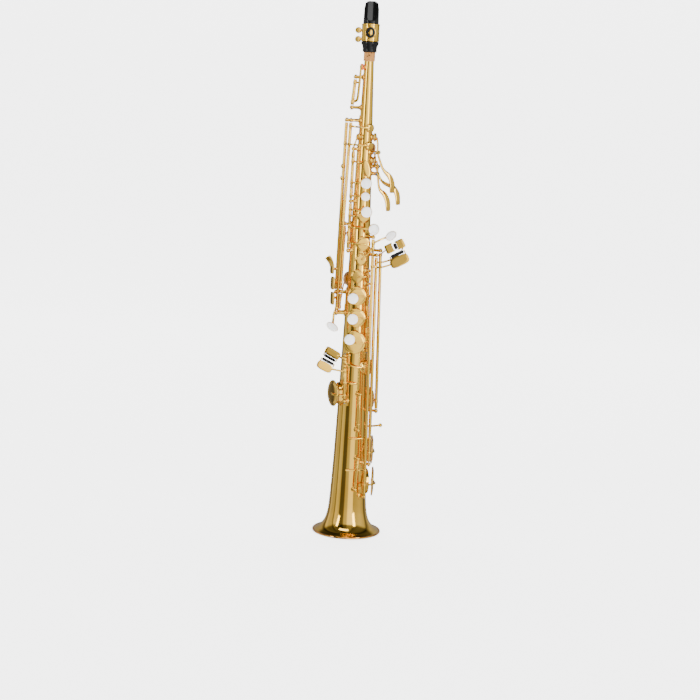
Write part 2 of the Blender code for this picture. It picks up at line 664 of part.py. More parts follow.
def side_keys():
    """Right hand's side keys, whose long tubes run up the player's right side."""
    key = Key("key_side_e", "side_e", (325.8, 544.4))
    key.arm(517.0, [(-24.4, -12.0, 517.0), (-13.0, -19.6, 517.0), (0.0, -18.6, 516.4),
                    crown("high_e", -1.0, 0.5)]).cup("high_e")
    side_touch(key, (-35.2, 6.0, 352.5), [(-32.0, 4.0, 352.5)], 14.0)
    key.add(bar([(-35.2, 6.0, 357.0), (-37.2, 6.0, 361.5), (-42.0, 6.0, 368.0)],
                (-0.85, -0.5, 0.5), (9.0,), 2.2)).build()

    key = Key("key_side_c", "side_low", (326.6, 409.9))
    key.arm(400.0, [(-20.5, 8.6, 400.0), crown("side_c", 0.8, 0.5)]).cup("side_c")
    side_touch(key, (-33.4, -8.2, 335.0), [(-27.0, -0.8, 335.0), (-31.4, -3.0, 335.0)], 17.0)
    key.build()

    key = Key("key_side_bb", "side_low", (300.1, 320.4))
    key.arm(303.0, [(-22.6, 7.8, 305.0), (-19.6, 11.6, 330.0), crown("side_bb", 0.6, 0.5)])
    side_touch(key, (-32.8, -8.2, 315.0), [(-28.4, 0.4, 315.0), (-31.8, -3.4, 315.0)], 17.0)
    key.cup("side_bb").build()

    key = Key("key_high_f_sharp", "high_f_sharp", (298.6, 544.4))
    key.arm(540.0, [(-17.0, -13.6, 540.0), (-7.0, -17.0, 539.6), crown("high_f_sharp", -1.0, 0.5)])
    seat = Vector((-31.0, -13.0, 278.0))
    normal = Vector((-0.3, -1.0, 0.0))
    key.arm(301.6, [(-30.0, -10.0, 296.0), seat + Vector((0.4, 1.8, 1.0))], (3.0,),
            face=Vector((-0.3, -1.0, 0.0)))
    along = (-1.0, 0.3, 0.55)
    key.add(plate(seat - normal.normalized() * 0.8, normal, along, 16.0, 9.0, 1.6, 2.0))
    key.cup("high_f_sharp").build()
    key.pearl("pearl_high_f_sharp", seat, normal, length=17.0, width=10.2, along=along)


PALM_PIVOTS = {}


def place_palm_pivots():
    """Works out the two post points of each palm key's short crosswise hinge."""
    reach = PALM_HALF + TUBE_END_GAP
    for name, (hole, pivot, route) in PALMS.items():
        pivot = Vector(pivot)
        outward = Vector((pivot.x, pivot.y, 0.0)).normalized()
        lever = Vector(route[0]) - crown(hole)
        across = outward.cross(lever).normalized()
        across.z = 0.0
        across.normalize()
        PALM_PIVOTS[name] = (pivot - across * reach, pivot + across * reach)


def palm_keys():
    """Left palm's D, E flat and F levers, each on a short crosswise hinge."""
    for name, (hole, pivot, route) in PALMS.items():
        low, high = PALM_PIVOTS[name]
        across = (high - low).normalized()
        pivot = Vector(pivot)
        outward = Vector((pivot.x, pivot.y, 0.0)).normalized()
        shapes = [rod(pivot - across * PALM_HALF, pivot + across * PALM_HALF,
                      KEY_TUBE_RADIUS, 10)]
        shapes.append(cup_solid(*(HOLES[hole][index] for index in (0, 1, 3))))
        top = crown(hole, 0.0, 0.5)
        shapes.append(bar([top, top.lerp(pivot, 0.5) + outward * 1.6, pivot + outward * 0.6,
                           *route], PALM_FACE, (2.4, 2.2, 2.2, 3.6, 7.0, 8.0, 6.6), 2.2))
        KEYS[name] = (low, high, 0.0)
        solid(name, shapes, BRASS, origin=pivot)


def low_keys():
    """Left little finger's keys: G sharp, low C sharp, B and B flat, on the long right rods."""
    key = Key("key_g_sharp", "g_sharp", (380.2, 395.9))
    key.arm(384.0, [(12.0, -21.0, 378.0), crown("g_sharp", 0.0, 0.5)]).cup("g_sharp")
    seat = Vector((39.4, -14.6, 401.4))
    normal = Vector((0.25, -1.0, 0.2))
    key.arm(391.0, [(26.0, -17.6, 396.0), seat + Vector((-4.0, 1.4, -1.6))],
            face=Vector((0.0, -1.0, 0.0)))
    along = (1.0, 0.0, 0.75)
    key.add(plate(seat - normal.normalized() * 0.8, normal, along, 14.6, 9.6, 1.6, 2.0)).build()
    key.pearl("pearl_g_sharp", seat, normal, length=16.0, width=11.0, along=along)

    key = Key("key_low_c_sharp", "low_c_sharp", (170.6, 377.3))
    key.arm(180.0, [(29.6, 2.0, 180.0), crown("low_c_sharp", -6.0, 0.5), crown("low_c_sharp")])
    key.arm(375.0, [(33.0, -13.4, 381.0), table_point(-9.5, 0.0, 1.2)])
    key.add(table_plate(-6.6, 0.1, 12.2, 12.2)).cup("low_c_sharp").build(-11.0, [table_notch()])

    key = Key("key_low_b", "low_b", (100.1, 371.9))
    key.arm(112.0, [(30.6, -7.0, 112.0), crown("low_b", -8.0, 0.5), crown("low_b")])
    key.arm(131.3, [(16.0, -21.4, 131.3), (8.0, -26.2, 131.3), (-1.0, -28.4, 131.3)])
    key.arm(366.0, [(29.0, -13.6, 366.0), (40.0, -9.0, 369.5), (49.0, -1.6, 376.0),
                    (55.0, -3.6, 386.0), table_point(8.4, 0.0, 2.0)])
    key.add(table_plate(6.6, 0.1, 12.2, 12.2)).cup("low_b").build(-11.5, [table_notch()])

    key = Key("key_low_bb", "low_bb", (57.1, 373.9))
    key.arm(69.0, [(29.8, -13.0, 69.0), (33.0, -6.0, 69.0), crown("low_bb", -6.0, 0.5),
                   crown("low_bb")])
    key.arm(88.8, [(15.0, -22.0, 88.8), (7.4, -24.9, 88.8), (-3.8, -30.2, 88.8)])
    key.arm(361.0, [(28.0, -22.0, 360.0), table_point(-9.0, -19.5, 2.2)])
    for along in (-13.1, 7.1):
        key.add(bar([table_point(along, -16.0, 1.4), table_point(along, -8.7, 1.4)],
                    TABLE_NORMAL, (1.4,), 1.5))
    key.add(table_plate(-3.9, -18.8, 26.4, 13.6, 3.4)).cup("low_bb").build(-11.0)


def table_notch():
    """Cutter for the slot in the table's upper plates that the short roller turns in."""
    return bar([table_point(0.0, -4.9, 0.8), table_point(0.0, 4.9, 0.8)], TABLE_NORMAL,
               (2.0 * (TABLE_ROLLER_RADIUS + GAP),), 9.0)


def table_axes():
    """Directions of the little-finger table: along its top edge, and up across it."""
    tilt = math.radians(TABLE_TILT)
    along = Vector((math.cos(tilt), 0.0, math.sin(tilt)))
    along = (along - TABLE_NORMAL * along.dot(TABLE_NORMAL)).normalized()
    return along, TABLE_NORMAL.cross(along)


def table_point(along, up, behind=0.0):
    """Point of the table, or behind its face."""
    first, second = table_axes()
    return TABLE_CENTRE + first * along + second * up - TABLE_NORMAL * behind


def table_plate(along, up, length, width, squareness=6.0):
    """Touch plate of the table."""
    first = table_axes()[0]
    return plate(table_point(along, up, 1.0), TABLE_NORMAL, first, length, width, 2.0, squareness)


def pinky_keys():
    """Right little finger's E flat and C keys, side by side on the low left line."""
    key = Key("key_low_eb", "pinky", (230.6, 238.4))
    key.arm(232.6, [(-2.0, -24.0, 228.0), (10.0, -20.6, 226.4), (14.6, -17.9, 226.4),
                    crown("low_eb", -5.0, 0.4), crown("low_eb", 0.7, 0.3)])
    key.arm(236.6, [(-18.0, -21.0, 239.0), pinky_point(5.0, 8.6, 1.4)])
    key.add(pinky_plate(0.0, 8.6, 10.4, 5.0))
    for along in (-9.3, 9.3):
        key.add(pinky_ear(along, 5.0, 0.4))
    key.cup("low_eb").build()

    key = Key("key_low_c", "pinky", (184.1, 224.4))
    key.arm(188.4, [(-19.4, -21.4, 188.4), (-25.8, -12.0, 188.4), crown("low_c", 6.0, 0.5),
                    crown("low_c")])
    key.arm(205.3, [(-4.0, -25.6, 205.3), (4.8, -25.4, 205.3)])
    key.arm(221.0, [(-17.0, -20.0, 221.0), pinky_point(5.0, -11.0, 1.4)])
    key.add(pinky_plate(-0.6, -11.3, 11.6, 3.2))
    for along in (-9.3, 9.3):
        key.add(pinky_ear(along, -7.0, -2.4))
    key.cup("low_c").build(14.0)


def pinky_point(along, up, behind=0.0):
    """Point of the right little finger's plates, or behind their faces."""
    tilt = math.radians(PINKY_TILT)
    first = Vector((math.cos(tilt), 0.0, math.sin(tilt)))
    first = (first - PINKY_NORMAL * first.dot(PINKY_NORMAL)).normalized()
    return PINKY_CENTRE + first * along + PINKY_NORMAL.cross(first) * up - PINKY_NORMAL * behind


def pinky_plate(along, up, width, squareness):
    """One of the two plates."""
    first = pinky_point(1.0, 0.0) - pinky_point(0.0, 0.0)
    return plate(pinky_point(along, up, 1.0), PINKY_NORMAL, first, 21.6, width, 2.0, squareness)


def pinky_ear(along, start, end):
    """Ear that carries one end of a roller."""
    return bar([pinky_point(along, start, 1.2), pinky_point(along, end, 1.2)], PINKY_NORMAL,
               (1.4,), 1.5)


ROLLERS = {}


def make_rollers():
    """Black rollers between neighbouring touches, each free to turn about its own pin."""
    places = {
        "roller_table_long": ("key_low_bb", TABLE_ROLLER_RADIUS, table_point(-11.8, -9.5, 1.4),
                              table_point(5.8, -9.5, 1.4)),
        "roller_table_short": ("key_low_b", TABLE_ROLLER_RADIUS, table_point(0.0, -3.9, 1.4),
                               table_point(0.0, 3.9, 1.4)),
        "roller_pinky_upper": ("key_low_eb", PINKY_ROLLER_RADIUS, pinky_point(-8.2, 1.1, 1.2),
                               pinky_point(8.2, 1.1, 1.2)),
        "roller_pinky_lower": ("key_low_c", PINKY_ROLLER_RADIUS, pinky_point(-8.2, -3.3, 1.2),
                               pinky_point(8.2, -3.3, 1.2)),
    }
    for name, (key, radius, start, end) in places.items():
        hinge_low, hinge_high, rest = KEYS[key]
        turn = Matrix.Rotation(math.radians(rest), 3, (hinge_high - hinge_low).normalized())
        low = hinge_low + turn @ (start - hinge_low)
        high = hinge_low + turn @ (end - hinge_low)
        ROLLERS[name] = (low, high)
        solid(name, [rod(low, high, radius, 14)], RESIN, origin=low)


THUMB_PIVOT = []


def place_thumb_pivot():
    """Works out the two post points of the octave lever's crosswise hinge at the back."""
    depth = wall_radius(THUMB_LEVER_HEIGHT) + 6.6
    reach = PALM_HALF + TUBE_END_GAP
    for side in (-reach, reach):
        THUMB_PIVOT.append(Vector((side, depth, THUMB_LEVER_HEIGHT)))


def octave_keys():
    """Octave mechanism: the thumb's lever, the vent cup on the body and the one on the neck."""
    middle = (THUMB_PIVOT[0] + THUMB_PIVOT[1]) / 2.0
    half = Vector((PALM_HALF, 0.0, 0.0))
    lever = bar([middle + Vector((0.0, 0.4, 18.0)), middle + Vector((0.0, 1.6, 6.0)),
                 middle + Vector((0.0, 1.6, -6.0)), middle + Vector((0.0, 3.0, -12.0))],
                (0.0, 1.0, 0.0), (3.0,), 1.8)
    touch = plate(middle + Vector((0.0, 3.4, -16.0)), (0.0, 1.0, 0.1), (0.0, 0.0, 1.0),
                  15.0, 10.0, 2.0, 2.4)
    KEYS["key_octave_thumb"] = (THUMB_PIVOT[0], THUMB_PIVOT[1], 0.0)
    solid("key_octave_thumb", [rod(middle - half, middle + half, KEY_TUBE_RADIUS, 10), lever, touch],
          BRASS, origin=middle)

    key = Key("key_octave_body", "octave_body", (487.1, 504.9))
    key.arm(500.0, [(-3.0, 17.6, 500.0), crown("octave_body", 0.0, 0.5)]).cup("octave_body")
    key.build()

    key = Key("key_octave_neck", "octave_neck", (567.1, 599.9))
    vent_seat = wall_radius(VENT_HEIGHT) + VENT_RISE + GAP
    seat = spot(VENT_ANGLE, vent_seat, VENT_HEIGHT)
    pad = lathe([(0.0, 3.0), (2.6, 2.6), (3.4, 1.8), (3.4, 0.0)], 12,
                frame_at(seat, rim_of(VENT_ANGLE)))
    over = spot(VENT_ANGLE, vent_seat + 2.8, VENT_HEIGHT)
    key.arm(596.0, [(-14.0, -2.0, 596.0), (-10.6, -4.8, 596.0)])
    key.arm(571.0, [(-12.6, -2.4, 573.0), (-11.2, -4.8, 592.0), (-10.2, -5.8, 608.0), over],
            (3.2, 3.2, 3.2, 3.0, 2.4))
    key.add(pad).build()


# The whole instrument.

for old in list(bpy.data.objects):
    bpy.data.objects.remove(old)

BRASS = material("lacquered_brass", (0.83, 0.62, 0.28), 0.16, 1.0)
COPPER = material("rim_brass", (0.72, 0.42, 0.20), 0.22, 1.0)
STEEL = material("blued_steel", (0.45, 0.47, 0.52), 0.25, 1.0)
EBONITE = material("black_ebonite", (0.012, 0.012, 0.013), 0.18, 0.0)
RESIN = material("black_resin", (0.02, 0.02, 0.02), 0.3, 0.0)
PEARL = material("mother_of_pearl", (0.93, 0.92, 0.89), 0.15, 0.0)
CORK = material("neck_cork", (0.62, 0.42, 0.26), 0.85, 0.0)
CANE = material("cane", (0.80, 0.66, 0.38), 0.55, 0.0)

STAND = bpy.data.objects.new("tube_axis", None)
STAND.location = Vector((TUBE_X, TUBE_Y, 0.0)) * METRES
bpy.context.scene.collection.objects.link(STAND)

KEYS = {}
place_palm_pivots()
place_thumb_pivot()
make_body()
make_rim()
make_cork()
make_mouthpiece()
make_reed()
make_ligature()
make_ligature_screws()
make_thumb_pieces()
make_fixed_rods()
lh_stack_keys()
rh_stack_keys()
side_keys()
palm_keys()
low_keys()
pinky_keys()
make_rollers()
octave_keys()
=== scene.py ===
"""The looks of a straight soprano saxophone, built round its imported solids.

Lengths are millimetres from the tube's own axis, with the bell's rim at height 0, until a piece
is finished, when it is moved to the model's frame in metres.  An angle around the tube is counted
from the front (-Y) towards +X.
"""
import json
import math

import bmesh
import bpy
from mathutils import Matrix, Vector

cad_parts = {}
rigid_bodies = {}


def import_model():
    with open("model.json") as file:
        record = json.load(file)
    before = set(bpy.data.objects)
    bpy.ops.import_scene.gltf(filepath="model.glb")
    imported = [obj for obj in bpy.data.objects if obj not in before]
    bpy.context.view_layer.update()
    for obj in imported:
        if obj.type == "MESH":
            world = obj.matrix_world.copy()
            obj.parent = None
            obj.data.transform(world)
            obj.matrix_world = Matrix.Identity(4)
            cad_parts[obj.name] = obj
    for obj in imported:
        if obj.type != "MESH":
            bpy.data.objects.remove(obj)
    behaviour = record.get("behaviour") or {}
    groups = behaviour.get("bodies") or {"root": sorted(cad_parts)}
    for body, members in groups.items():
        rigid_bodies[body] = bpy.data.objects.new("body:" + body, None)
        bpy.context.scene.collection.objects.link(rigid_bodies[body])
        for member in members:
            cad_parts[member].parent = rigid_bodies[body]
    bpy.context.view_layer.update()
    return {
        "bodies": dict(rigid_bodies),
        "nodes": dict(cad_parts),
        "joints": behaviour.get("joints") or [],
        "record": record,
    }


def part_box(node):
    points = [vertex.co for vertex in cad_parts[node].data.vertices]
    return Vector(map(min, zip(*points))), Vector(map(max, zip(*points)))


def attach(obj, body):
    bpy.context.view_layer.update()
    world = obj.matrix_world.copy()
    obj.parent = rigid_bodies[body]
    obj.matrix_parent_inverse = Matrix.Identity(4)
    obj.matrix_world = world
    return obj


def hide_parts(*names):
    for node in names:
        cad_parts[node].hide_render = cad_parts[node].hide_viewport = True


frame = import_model()

METRES = 0.001
RIM_LOW, RIM_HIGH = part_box("bell_rim_ring")
AXIS = Vector(((RIM_LOW.x + RIM_HIGH.x) / 2.0, (RIM_LOW.y + RIM_HIGH.y) / 2.0, RIM_LOW.z))

# Outer wall of the tube: height, radius.
WALL = [(645.0, 5.6), (618.0, 6.3), (556.0, 8.1), (249.0, 17.0), (170.0, 19.4), (93.0, 21.9),
        (41.0, 24.7), (27.0, 26.3), (17.0, 28.9), (11.0, 32.4), (6.6, 36.6), (3.4, 41.8)]
# The bell's last edge, which runs into the rim.
RIM_SEAT = [(2.9, 42.5), (2.05, 43.7)]
WALL_THICKNESS = 0.9
RIM_RADIUS = 44.0
RIM_HALF_WIDTH = 1.6
RIM_HEIGHT = 3.0
RIM_POWER = 0.86

GAP = 0.3
CHIMNEY_RISE = 2.0
CHIMNEY_WALL = 0.9
CHIMNEY_FILLET = 1.3
CUP_HEIGHT = 3.4
PAD_DROP = 0.8
KEY_TUBE_RADIUS = 2.1
KEY_TUBE_BORE = 1.3
COLLAR_RADIUS = 2.45
STEEL_ROD_RADIUS = 0.95
POST_BALL_RADIUS = 2.7
TUBE_END_GAP = POST_BALL_RADIUS + GAP
ARM_WIDTH = 2.4
ARM_THICKNESS = 1.6
PEARL_RADIUS = 7.5
HOLDER_THICKNESS = 1.6
TABLE_ROLLER_RADIUS = 2.2
PINKY_ROLLER_RADIUS = 1.9

# Tone holes: angle around the tube, height, outer radius of the drawn chimney, radius of the cup.
HOLES = {
    "high_f_sharp": (28, 538.8, 3.8, 5.6),
    "palm_f": (80, 527.0, 3.8, 5.6),
    "small_c": (-43, 526.7, 3.0, 4.4),
    "high_e": (26, 515.7, 4.0, 5.8),
    "palm_eb": (132, 513.0, 4.2, 6.0),
    "octave_body": (165, 500.0, 2.0, 3.6),
    "palm_d": (85, 497.0, 4.4, 6.2),
    "b": (17, 468.0, 5.4, 7.3),
    "bis": (17, 451.0, 4.4, 6.2),
    "a": (15, 424.7, 6.6, 8.6),
    "side_c": (-125, 400.0, 6.2, 8.2),
    "g": (18, 389.0, 7.6, 9.7),
    "g_sharp": (8, 368.5, 6.2, 8.0),
    "f_sharp": (-8, 346.8, 6.6, 8.6),
    "side_bb": (-125, 340.0, 6.8, 8.8),
    "f": (-4, 321.0, 10.3, 12.5),
    "e": (-3, 292.3, 10.3, 12.5),
    "d": (-6, 260.0, 12.7, 15.0),
    "low_eb": (62, 226.0, 9.4, 11.2),
    "low_c": (-80, 188.4, 14.5, 17.4),
    "low_c_sharp": (120, 180.0, 12.6, 15.0),
    "low_b": (103, 112.0, 16.0, 19.0),
    "low_bb": (100, 69.0, 16.6, 19.6),
}
VENT_HEIGHT = 616.0
VENT_ANGLE = -60
VENT_RADIUS = 1.8
VENT_RISE = 2.2

# Hinge lines as (x, y, z) of a low and a high point.
LINES = {
    "lh_stack": ((-15.4, -9.5, 378.0), (-14.6, -8.0, 512.0)),
    "rh_stack": ((15.0, -14.2, 247.0), (12.6, -13.4, 357.0)),
    "side_e": ((-28.9, 2.5, 323.5), (-25.2, -2.0, 548.0)),
    "high_f_sharp": ((-27.0, -5.0, 295.5), (-19.6, -6.0, 548.0)),
    "side_low": ((-23.5, 0.0, 297.0), (-21.4, -0.4, 413.5)),
    "pinky": ((-10.4, -22.8, 178.0), (-12.8, -20.2, 244.0)),
    "low_bb": ((21.6, -24.0, 53.0), (17.0, -19.6, 377.0)),
    "low_b": ((25.6, -18.0, 97.0), (22.0, -14.4, 375.0)),
    "low_c_sharp": ((31.8, -8.0, 167.0), (27.0, -7.0, 381.0)),
    "g_sharp": ((17.0, -19.6, 377.0), (16.6, -19.2, 399.0)),
    "octave_neck": ((-19.6, 1.0, 563.0), (-16.2, 1.0, 604.0)),
    "octave_body": ((-7.2, 15.4, 484.0), (-6.8, 14.4, 508.0)),
}

FIXED = "horn"


# Places.

def upward(height):
    """Vector that points straight up."""
    return Vector((0.0, 0.0, height))


def flattened(point):
    """Point brought down to height 0."""
    return Vector((point.x, point.y, 0.0))


def rim_of(angle):
    """Unit vector pointing away from the tube's axis at an angle around it."""
    turn = math.radians(angle)
    return Vector((math.sin(turn), -math.cos(turn), 0.0))


def round_rim(angle):
    """Unit vector pointing round the tube, towards growing angles."""
    turn = math.radians(angle)
    return Vector((math.cos(turn), math.sin(turn), 0.0))


def spot(angle, radius, height):
    """Point at an angle, a distance from the tube's axis and a height."""
    return rim_of(angle) * radius + upward(height)


def wall_radius(height):
    """Outer radius of the tube at a height."""
    for (upper, upper_radius), (lower, lower_radius) in zip(WALL, WALL[1:]):
        if height >= lower:
            share = (height - lower) / (upper - lower)
            return lower_radius + share * (upper_radius - lower_radius)
    return WALL[-1][1]


def on_line(name, height):
    """Point of a hinge line at a height."""
    low, high = (Vector(point) for point in LINES[name])
    return low.lerp(high, (height - low.z) / (high.z - low.z))


def frame_at(origin, normal, along=None):
    """Matrix whose Z axis is the normal and whose X axis leans towards `along`."""
    z_axis = Vector(normal).normalized()
    guide = Vector(along) if along else upward(1.0)
    if abs(guide.normalized().dot(z_axis)) > 0.99:
        guide = Vector((1.0, 0.0, 0.0))
    x_axis = (guide - z_axis * guide.dot(z_axis)).normalized()
    y_axis = z_axis.cross(x_axis)
    turn = Matrix((x_axis, y_axis, z_axis)).transposed().to_4x4()
    return Matrix.Translation(origin) @ turn


# Shapes.  Each function that draws one returns a closed bmesh in millimetres.

PROFILE_SHARE = 0.45
BEND_SHARE = 0.42
BEND_REACH = 6.0
BEND_STEPS = 6

def skin(rings, ring_closed=False):
    """Closed mesh through rings of points; a ring of one point is a pole."""
    mesh = bmesh.new()
    loops = [[mesh.verts.new(point) for point in ring] for ring in rings]
    following = loops[1:] + loops[:1] if ring_closed else loops[1:]
    for first, second in zip(loops, following):
        count = max(len(first), len(second))
        for index in range(count):
            after = (index + 1) % count
            corners = [first[index % len(first)], first[after % len(first)],
                       second[after % len(second)], second[index % len(second)]]
            mesh.faces.new(list(dict.fromkeys(corners)))
    if not ring_closed:
        for end in (loops[0], loops[-1]):
            if len(end) > 2:
                mesh.faces.new(end)
    bmesh.ops.recalc_face_normals(mesh, faces=mesh.faces)
    return mesh


def bend(before, corner, after, most, share, steps):
    """Points of the curve that takes a corner's place, within a share of its two sides."""
    start, end = (corner + (other - corner).normalized()
                  * min(most, (other - corner).length * share) for other in (before, after))
    parts = [step / steps for step in range(steps + 1)]
    return [start * (1.0 - part) ** 2 + corner * 2.0 * part * (1.0 - part) + end * part ** 2
            for part in parts]


def softened(profile, radius, steps=4, closed=False):
    """Profile of (radius, height) points with its corners rounded."""
    points = [Vector(point) for point in profile]
    out = []
    for index, corner in enumerate(points):
        if not closed and index in (0, len(points) - 1):
            out.append(corner)
        else:
            out += bend(points[index - 1], corner, points[(index + 1) % len(points)], radius,
                        PROFILE_SHARE, steps)
    return [(point.x, point.y) for point in out]


def lathe(profile, sides=48, frame=None, hollow=False):
    """Solid of revolution about Z from (radius, height) points; hollow closes the profile."""
    rings = []
    for radius, height in profile:
        if radius < 1e-6:
            rings.append([upward(height)])
            continue
        turns = (2.0 * math.pi * index / sides for index in range(sides))
        rings.append([Vector((radius * math.cos(turn), radius * math.sin(turn), height))
                      for turn in turns])
    mesh = skin(rings, hollow)
    if frame:
        mesh.transform(frame)
    return mesh


def rod(start, end, radius, sides=24, bore=0.0, edge=0.18):
    """Round bar between two points with eased ends, or a pipe when it has a bore."""
    start, end = Vector(start), Vector(end)
    length = (end - start).length
    place = frame_at(start, end - start)
    if bore:
        profile = [(radius, length), (radius, 0.0), (bore, 0.0), (bore, length)]
        return lathe(softened(profile, edge, 2, True), sides, place, hollow=True)
    profile = [(0.0, length), (radius, length), (radius, 0.0), (0.0, 0.0)]
    return lathe(softened(profile, edge, 2), sides, place)


def ball(centre, radius, sides, bands):
    """Ball of meridians and bands."""
    turns = [math.pi * band / bands for band in range(bands + 1)]
    profile = [(radius * math.sin(turn), radius * math.cos(turn)) for turn in turns[1:-1]]
    profile = [(0.0, radius)] + profile + [(0.0, -radius)]
    return lathe(profile, sides, Matrix.Translation(centre))


def eased(points):
    """Path with its corners bent in smooth curves, as (point, place along the given points)."""
    points = [Vector(point) for point in points]
    out = [(points[0], 0.0)]
    for index in range(1, len(points) - 1):
        curve = bend(*points[index - 1:index + 2], BEND_REACH, BEND_SHARE, BEND_STEPS)
        for step, point in enumerate(curve):
            part = step / BEND_STEPS
            out.append((point, index + (part - 0.5) * 2.0 * BEND_SHARE))
    out.append((points[-1], float(len(points) - 1)))
    return out


def superellipse(sides, power, shift=0.5):
    """Points of a unit circle squared off as its power falls below 1."""
    turns = [2.0 * math.pi * (side + shift) / sides for side in range(sides)]
    return [[math.copysign(abs(value) ** power, value)
             for value in (math.cos(turn), math.sin(turn))] for turn in turns]


def bar(points, face, widths=(ARM_WIDTH,), thickness=ARM_THICKNESS, roundness=2.8, sides=16):
    """Bar bent along points with a softly rounded section; its broad side looks along `face`."""
    path = eased(points)
    face = Vector(face)
    section = superellipse(sides, 2.0 / roundness)
    ease = 0.3 * thickness
    blunt = ((0.0, 0.55), (0.35 * ease, 0.86), (ease, 1.0))
    rings = []
    count = len(path)
    for index, (point, place) in enumerate(path):
        before = path[max(index - 1, 0)][0]
        after = path[min(index + 1, count - 1)][0]
        heading = (after - before).normalized()
        across = heading.cross(face).normalized()
        rise = across.cross(heading)
        lower = min(int(place), len(widths) - 1)
        upper = min(lower + 1, len(widths) - 1)
        width = widths[lower] + (widths[upper] - widths[lower]) * (place - int(place))

        def ring(centre, scale):
            return [centre + across * (reach[0] * width * scale / 2.0)
                    + rise * (reach[1] * thickness * scale / 2.0) for reach in section]

        if index == 0:
            rings += [ring(point + heading * inset, scale) for inset, scale in blunt]
        elif index == count - 1:
            rings += [ring(point - heading * inset, scale) for inset, scale in blunt[::-1]]
        else:
            rings.append(ring(point, 1.0))
    return skin(rings)


def plate(origin, normal, along, length, width, thickness, squareness=5.0, sides=56, bulge=0.0):
    """Plate with rounded edges and a superellipse outline; `bulge` crowns its face."""
    soft = min(0.45 * thickness, 0.7)
    half = thickness / 2.0
    levels = [(soft, -half), (0.3 * soft, -half + 0.3 * soft), (0.0, -half + soft),
              (0.0, half - soft), (0.3 * soft, half - 0.3 * soft), (soft, half),
              (0.30 * width, half + bulge * 0.8)]
    outline = superellipse(sides, 2.0 / squareness)
    rings = [[Vector((reach[0] * (length / 2.0 - inset), reach[1] * (width / 2.0 - inset), level))
              for reach in outline] for inset, level in levels]
    rings = [[upward(-half)]] + rings + [[upward(half + bulge)]]
    mesh = skin(rings)
    mesh.transform(frame_at(origin, normal, along))
    return mesh


# Pieces.

def piece(name, shapes, look, body, replaced=(), turn=None, sharp=40.0):
    """Finished piece: shapes joined, turned, moved to the model's frame and given its looks."""
    data = bpy.data.meshes.new(name)
    whole = bmesh.new()
    for shape in shapes:
        shape.to_mesh(data)
        shape.free()
        whole.from_mesh(data)
    if turn:
        whole.transform(turn)
    whole.transform(Matrix.Translation(AXIS) @ Matrix.Scale(METRES, 4))
    whole.to_mesh(data)
    whole.free()
    data.materials.append(look)
    data.shade_smooth()
    data.set_sharp_from_angle(angle=math.radians(sharp))
    made = bpy.data.objects.new(name, data)
    bpy.context.scene.collection.objects.link(made)
    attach(made, body)
    if replaced:
        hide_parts(*replaced)
    return made


# Materials.

class Look:
    """Builds a procedural Principled material."""

    def __init__(self, name, **constants):
        self.material = bpy.data.materials.new(name)
        self.material.use_nodes = True
        self.nodes = self.material.node_tree.nodes
        self.links = self.material.node_tree.links
        self.shader = self.nodes["Principled BSDF"]
        for socket, value in constants.items():
            self.shader.inputs[socket.replace("_", " ")].default_value = value
        self.place = self.nodes.new("ShaderNodeTexCoord").outputs["Object"]

    def node(self, kind, **values):
        made = self.nodes.new(kind)
        for key, value in values.items():
            if hasattr(made, key):
                setattr(made, key, value)
            else:
                made.inputs[key.replace("_", " ")].default_value = value
        return made

    def stretched(self, scale):
        """Object coordinates with each axis scaled."""
        mapping = self.node("ShaderNodeMapping")
        mapping.inputs["Scale"].default_value = scale
        self.links.new(self.place, mapping.inputs["Vector"])
        return mapping.outputs["Vector"]

    def noise(self, scale, detail=4.0, roughness=0.55, stretch=None):
        made = self.node("ShaderNodeTexNoise", Scale=scale, Detail=detail, Roughness=roughness)
        source = self.stretched(stretch) if stretch else self.place
        self.links.new(source, made.inputs["Vector"])
        return made.outputs["Fac"]

    def ramp(self, source, stops):
        """Colour ramp from (place, colour or grey) stops."""
        made = self.node("ShaderNodeValToRGB")
        elements = made.color_ramp.elements
        while len(elements) < len(stops):
            elements.new(0.5)
        for element, (place, colour) in zip(elements, stops):
            element.position = place
            if isinstance(colour, (int, float)):
                colour = (colour, colour, colour)
            element.color = (*colour, 1.0)
        self.links.new(source, made.inputs["Fac"])
        return made.outputs["Color"]

    def mix(self, share, first, second, blend="MIX"):
        made = self.node("ShaderNodeMix", data_type="RGBA", blend_type=blend)
        for socket, value in zip((made.inputs[0], made.inputs[6], made.inputs[7]),
                                 (share, first, second)):
            if isinstance(value, bpy.types.NodeSocket):
                self.links.new(value, socket)
            elif isinstance(value, (int, float)):
                socket.default_value = value
            else:
                socket.default_value = (*value, 1.0)
        return made.outputs[2]

    def colour(self, source):
        self.links.new(source, self.shader.inputs["Base Color"])
        return self

    def roughness(self, source):
        self.links.new(source, self.shader.inputs["Roughness"])
        return self

    def bump(self, source, strength, distance):
        made = self.node("ShaderNodeBump", Strength=strength, Distance=distance)
        self.links.new(source, made.inputs["Height"])
        self.links.new(made.outputs["Normal"], self.shader.inputs["Normal"])
        return self


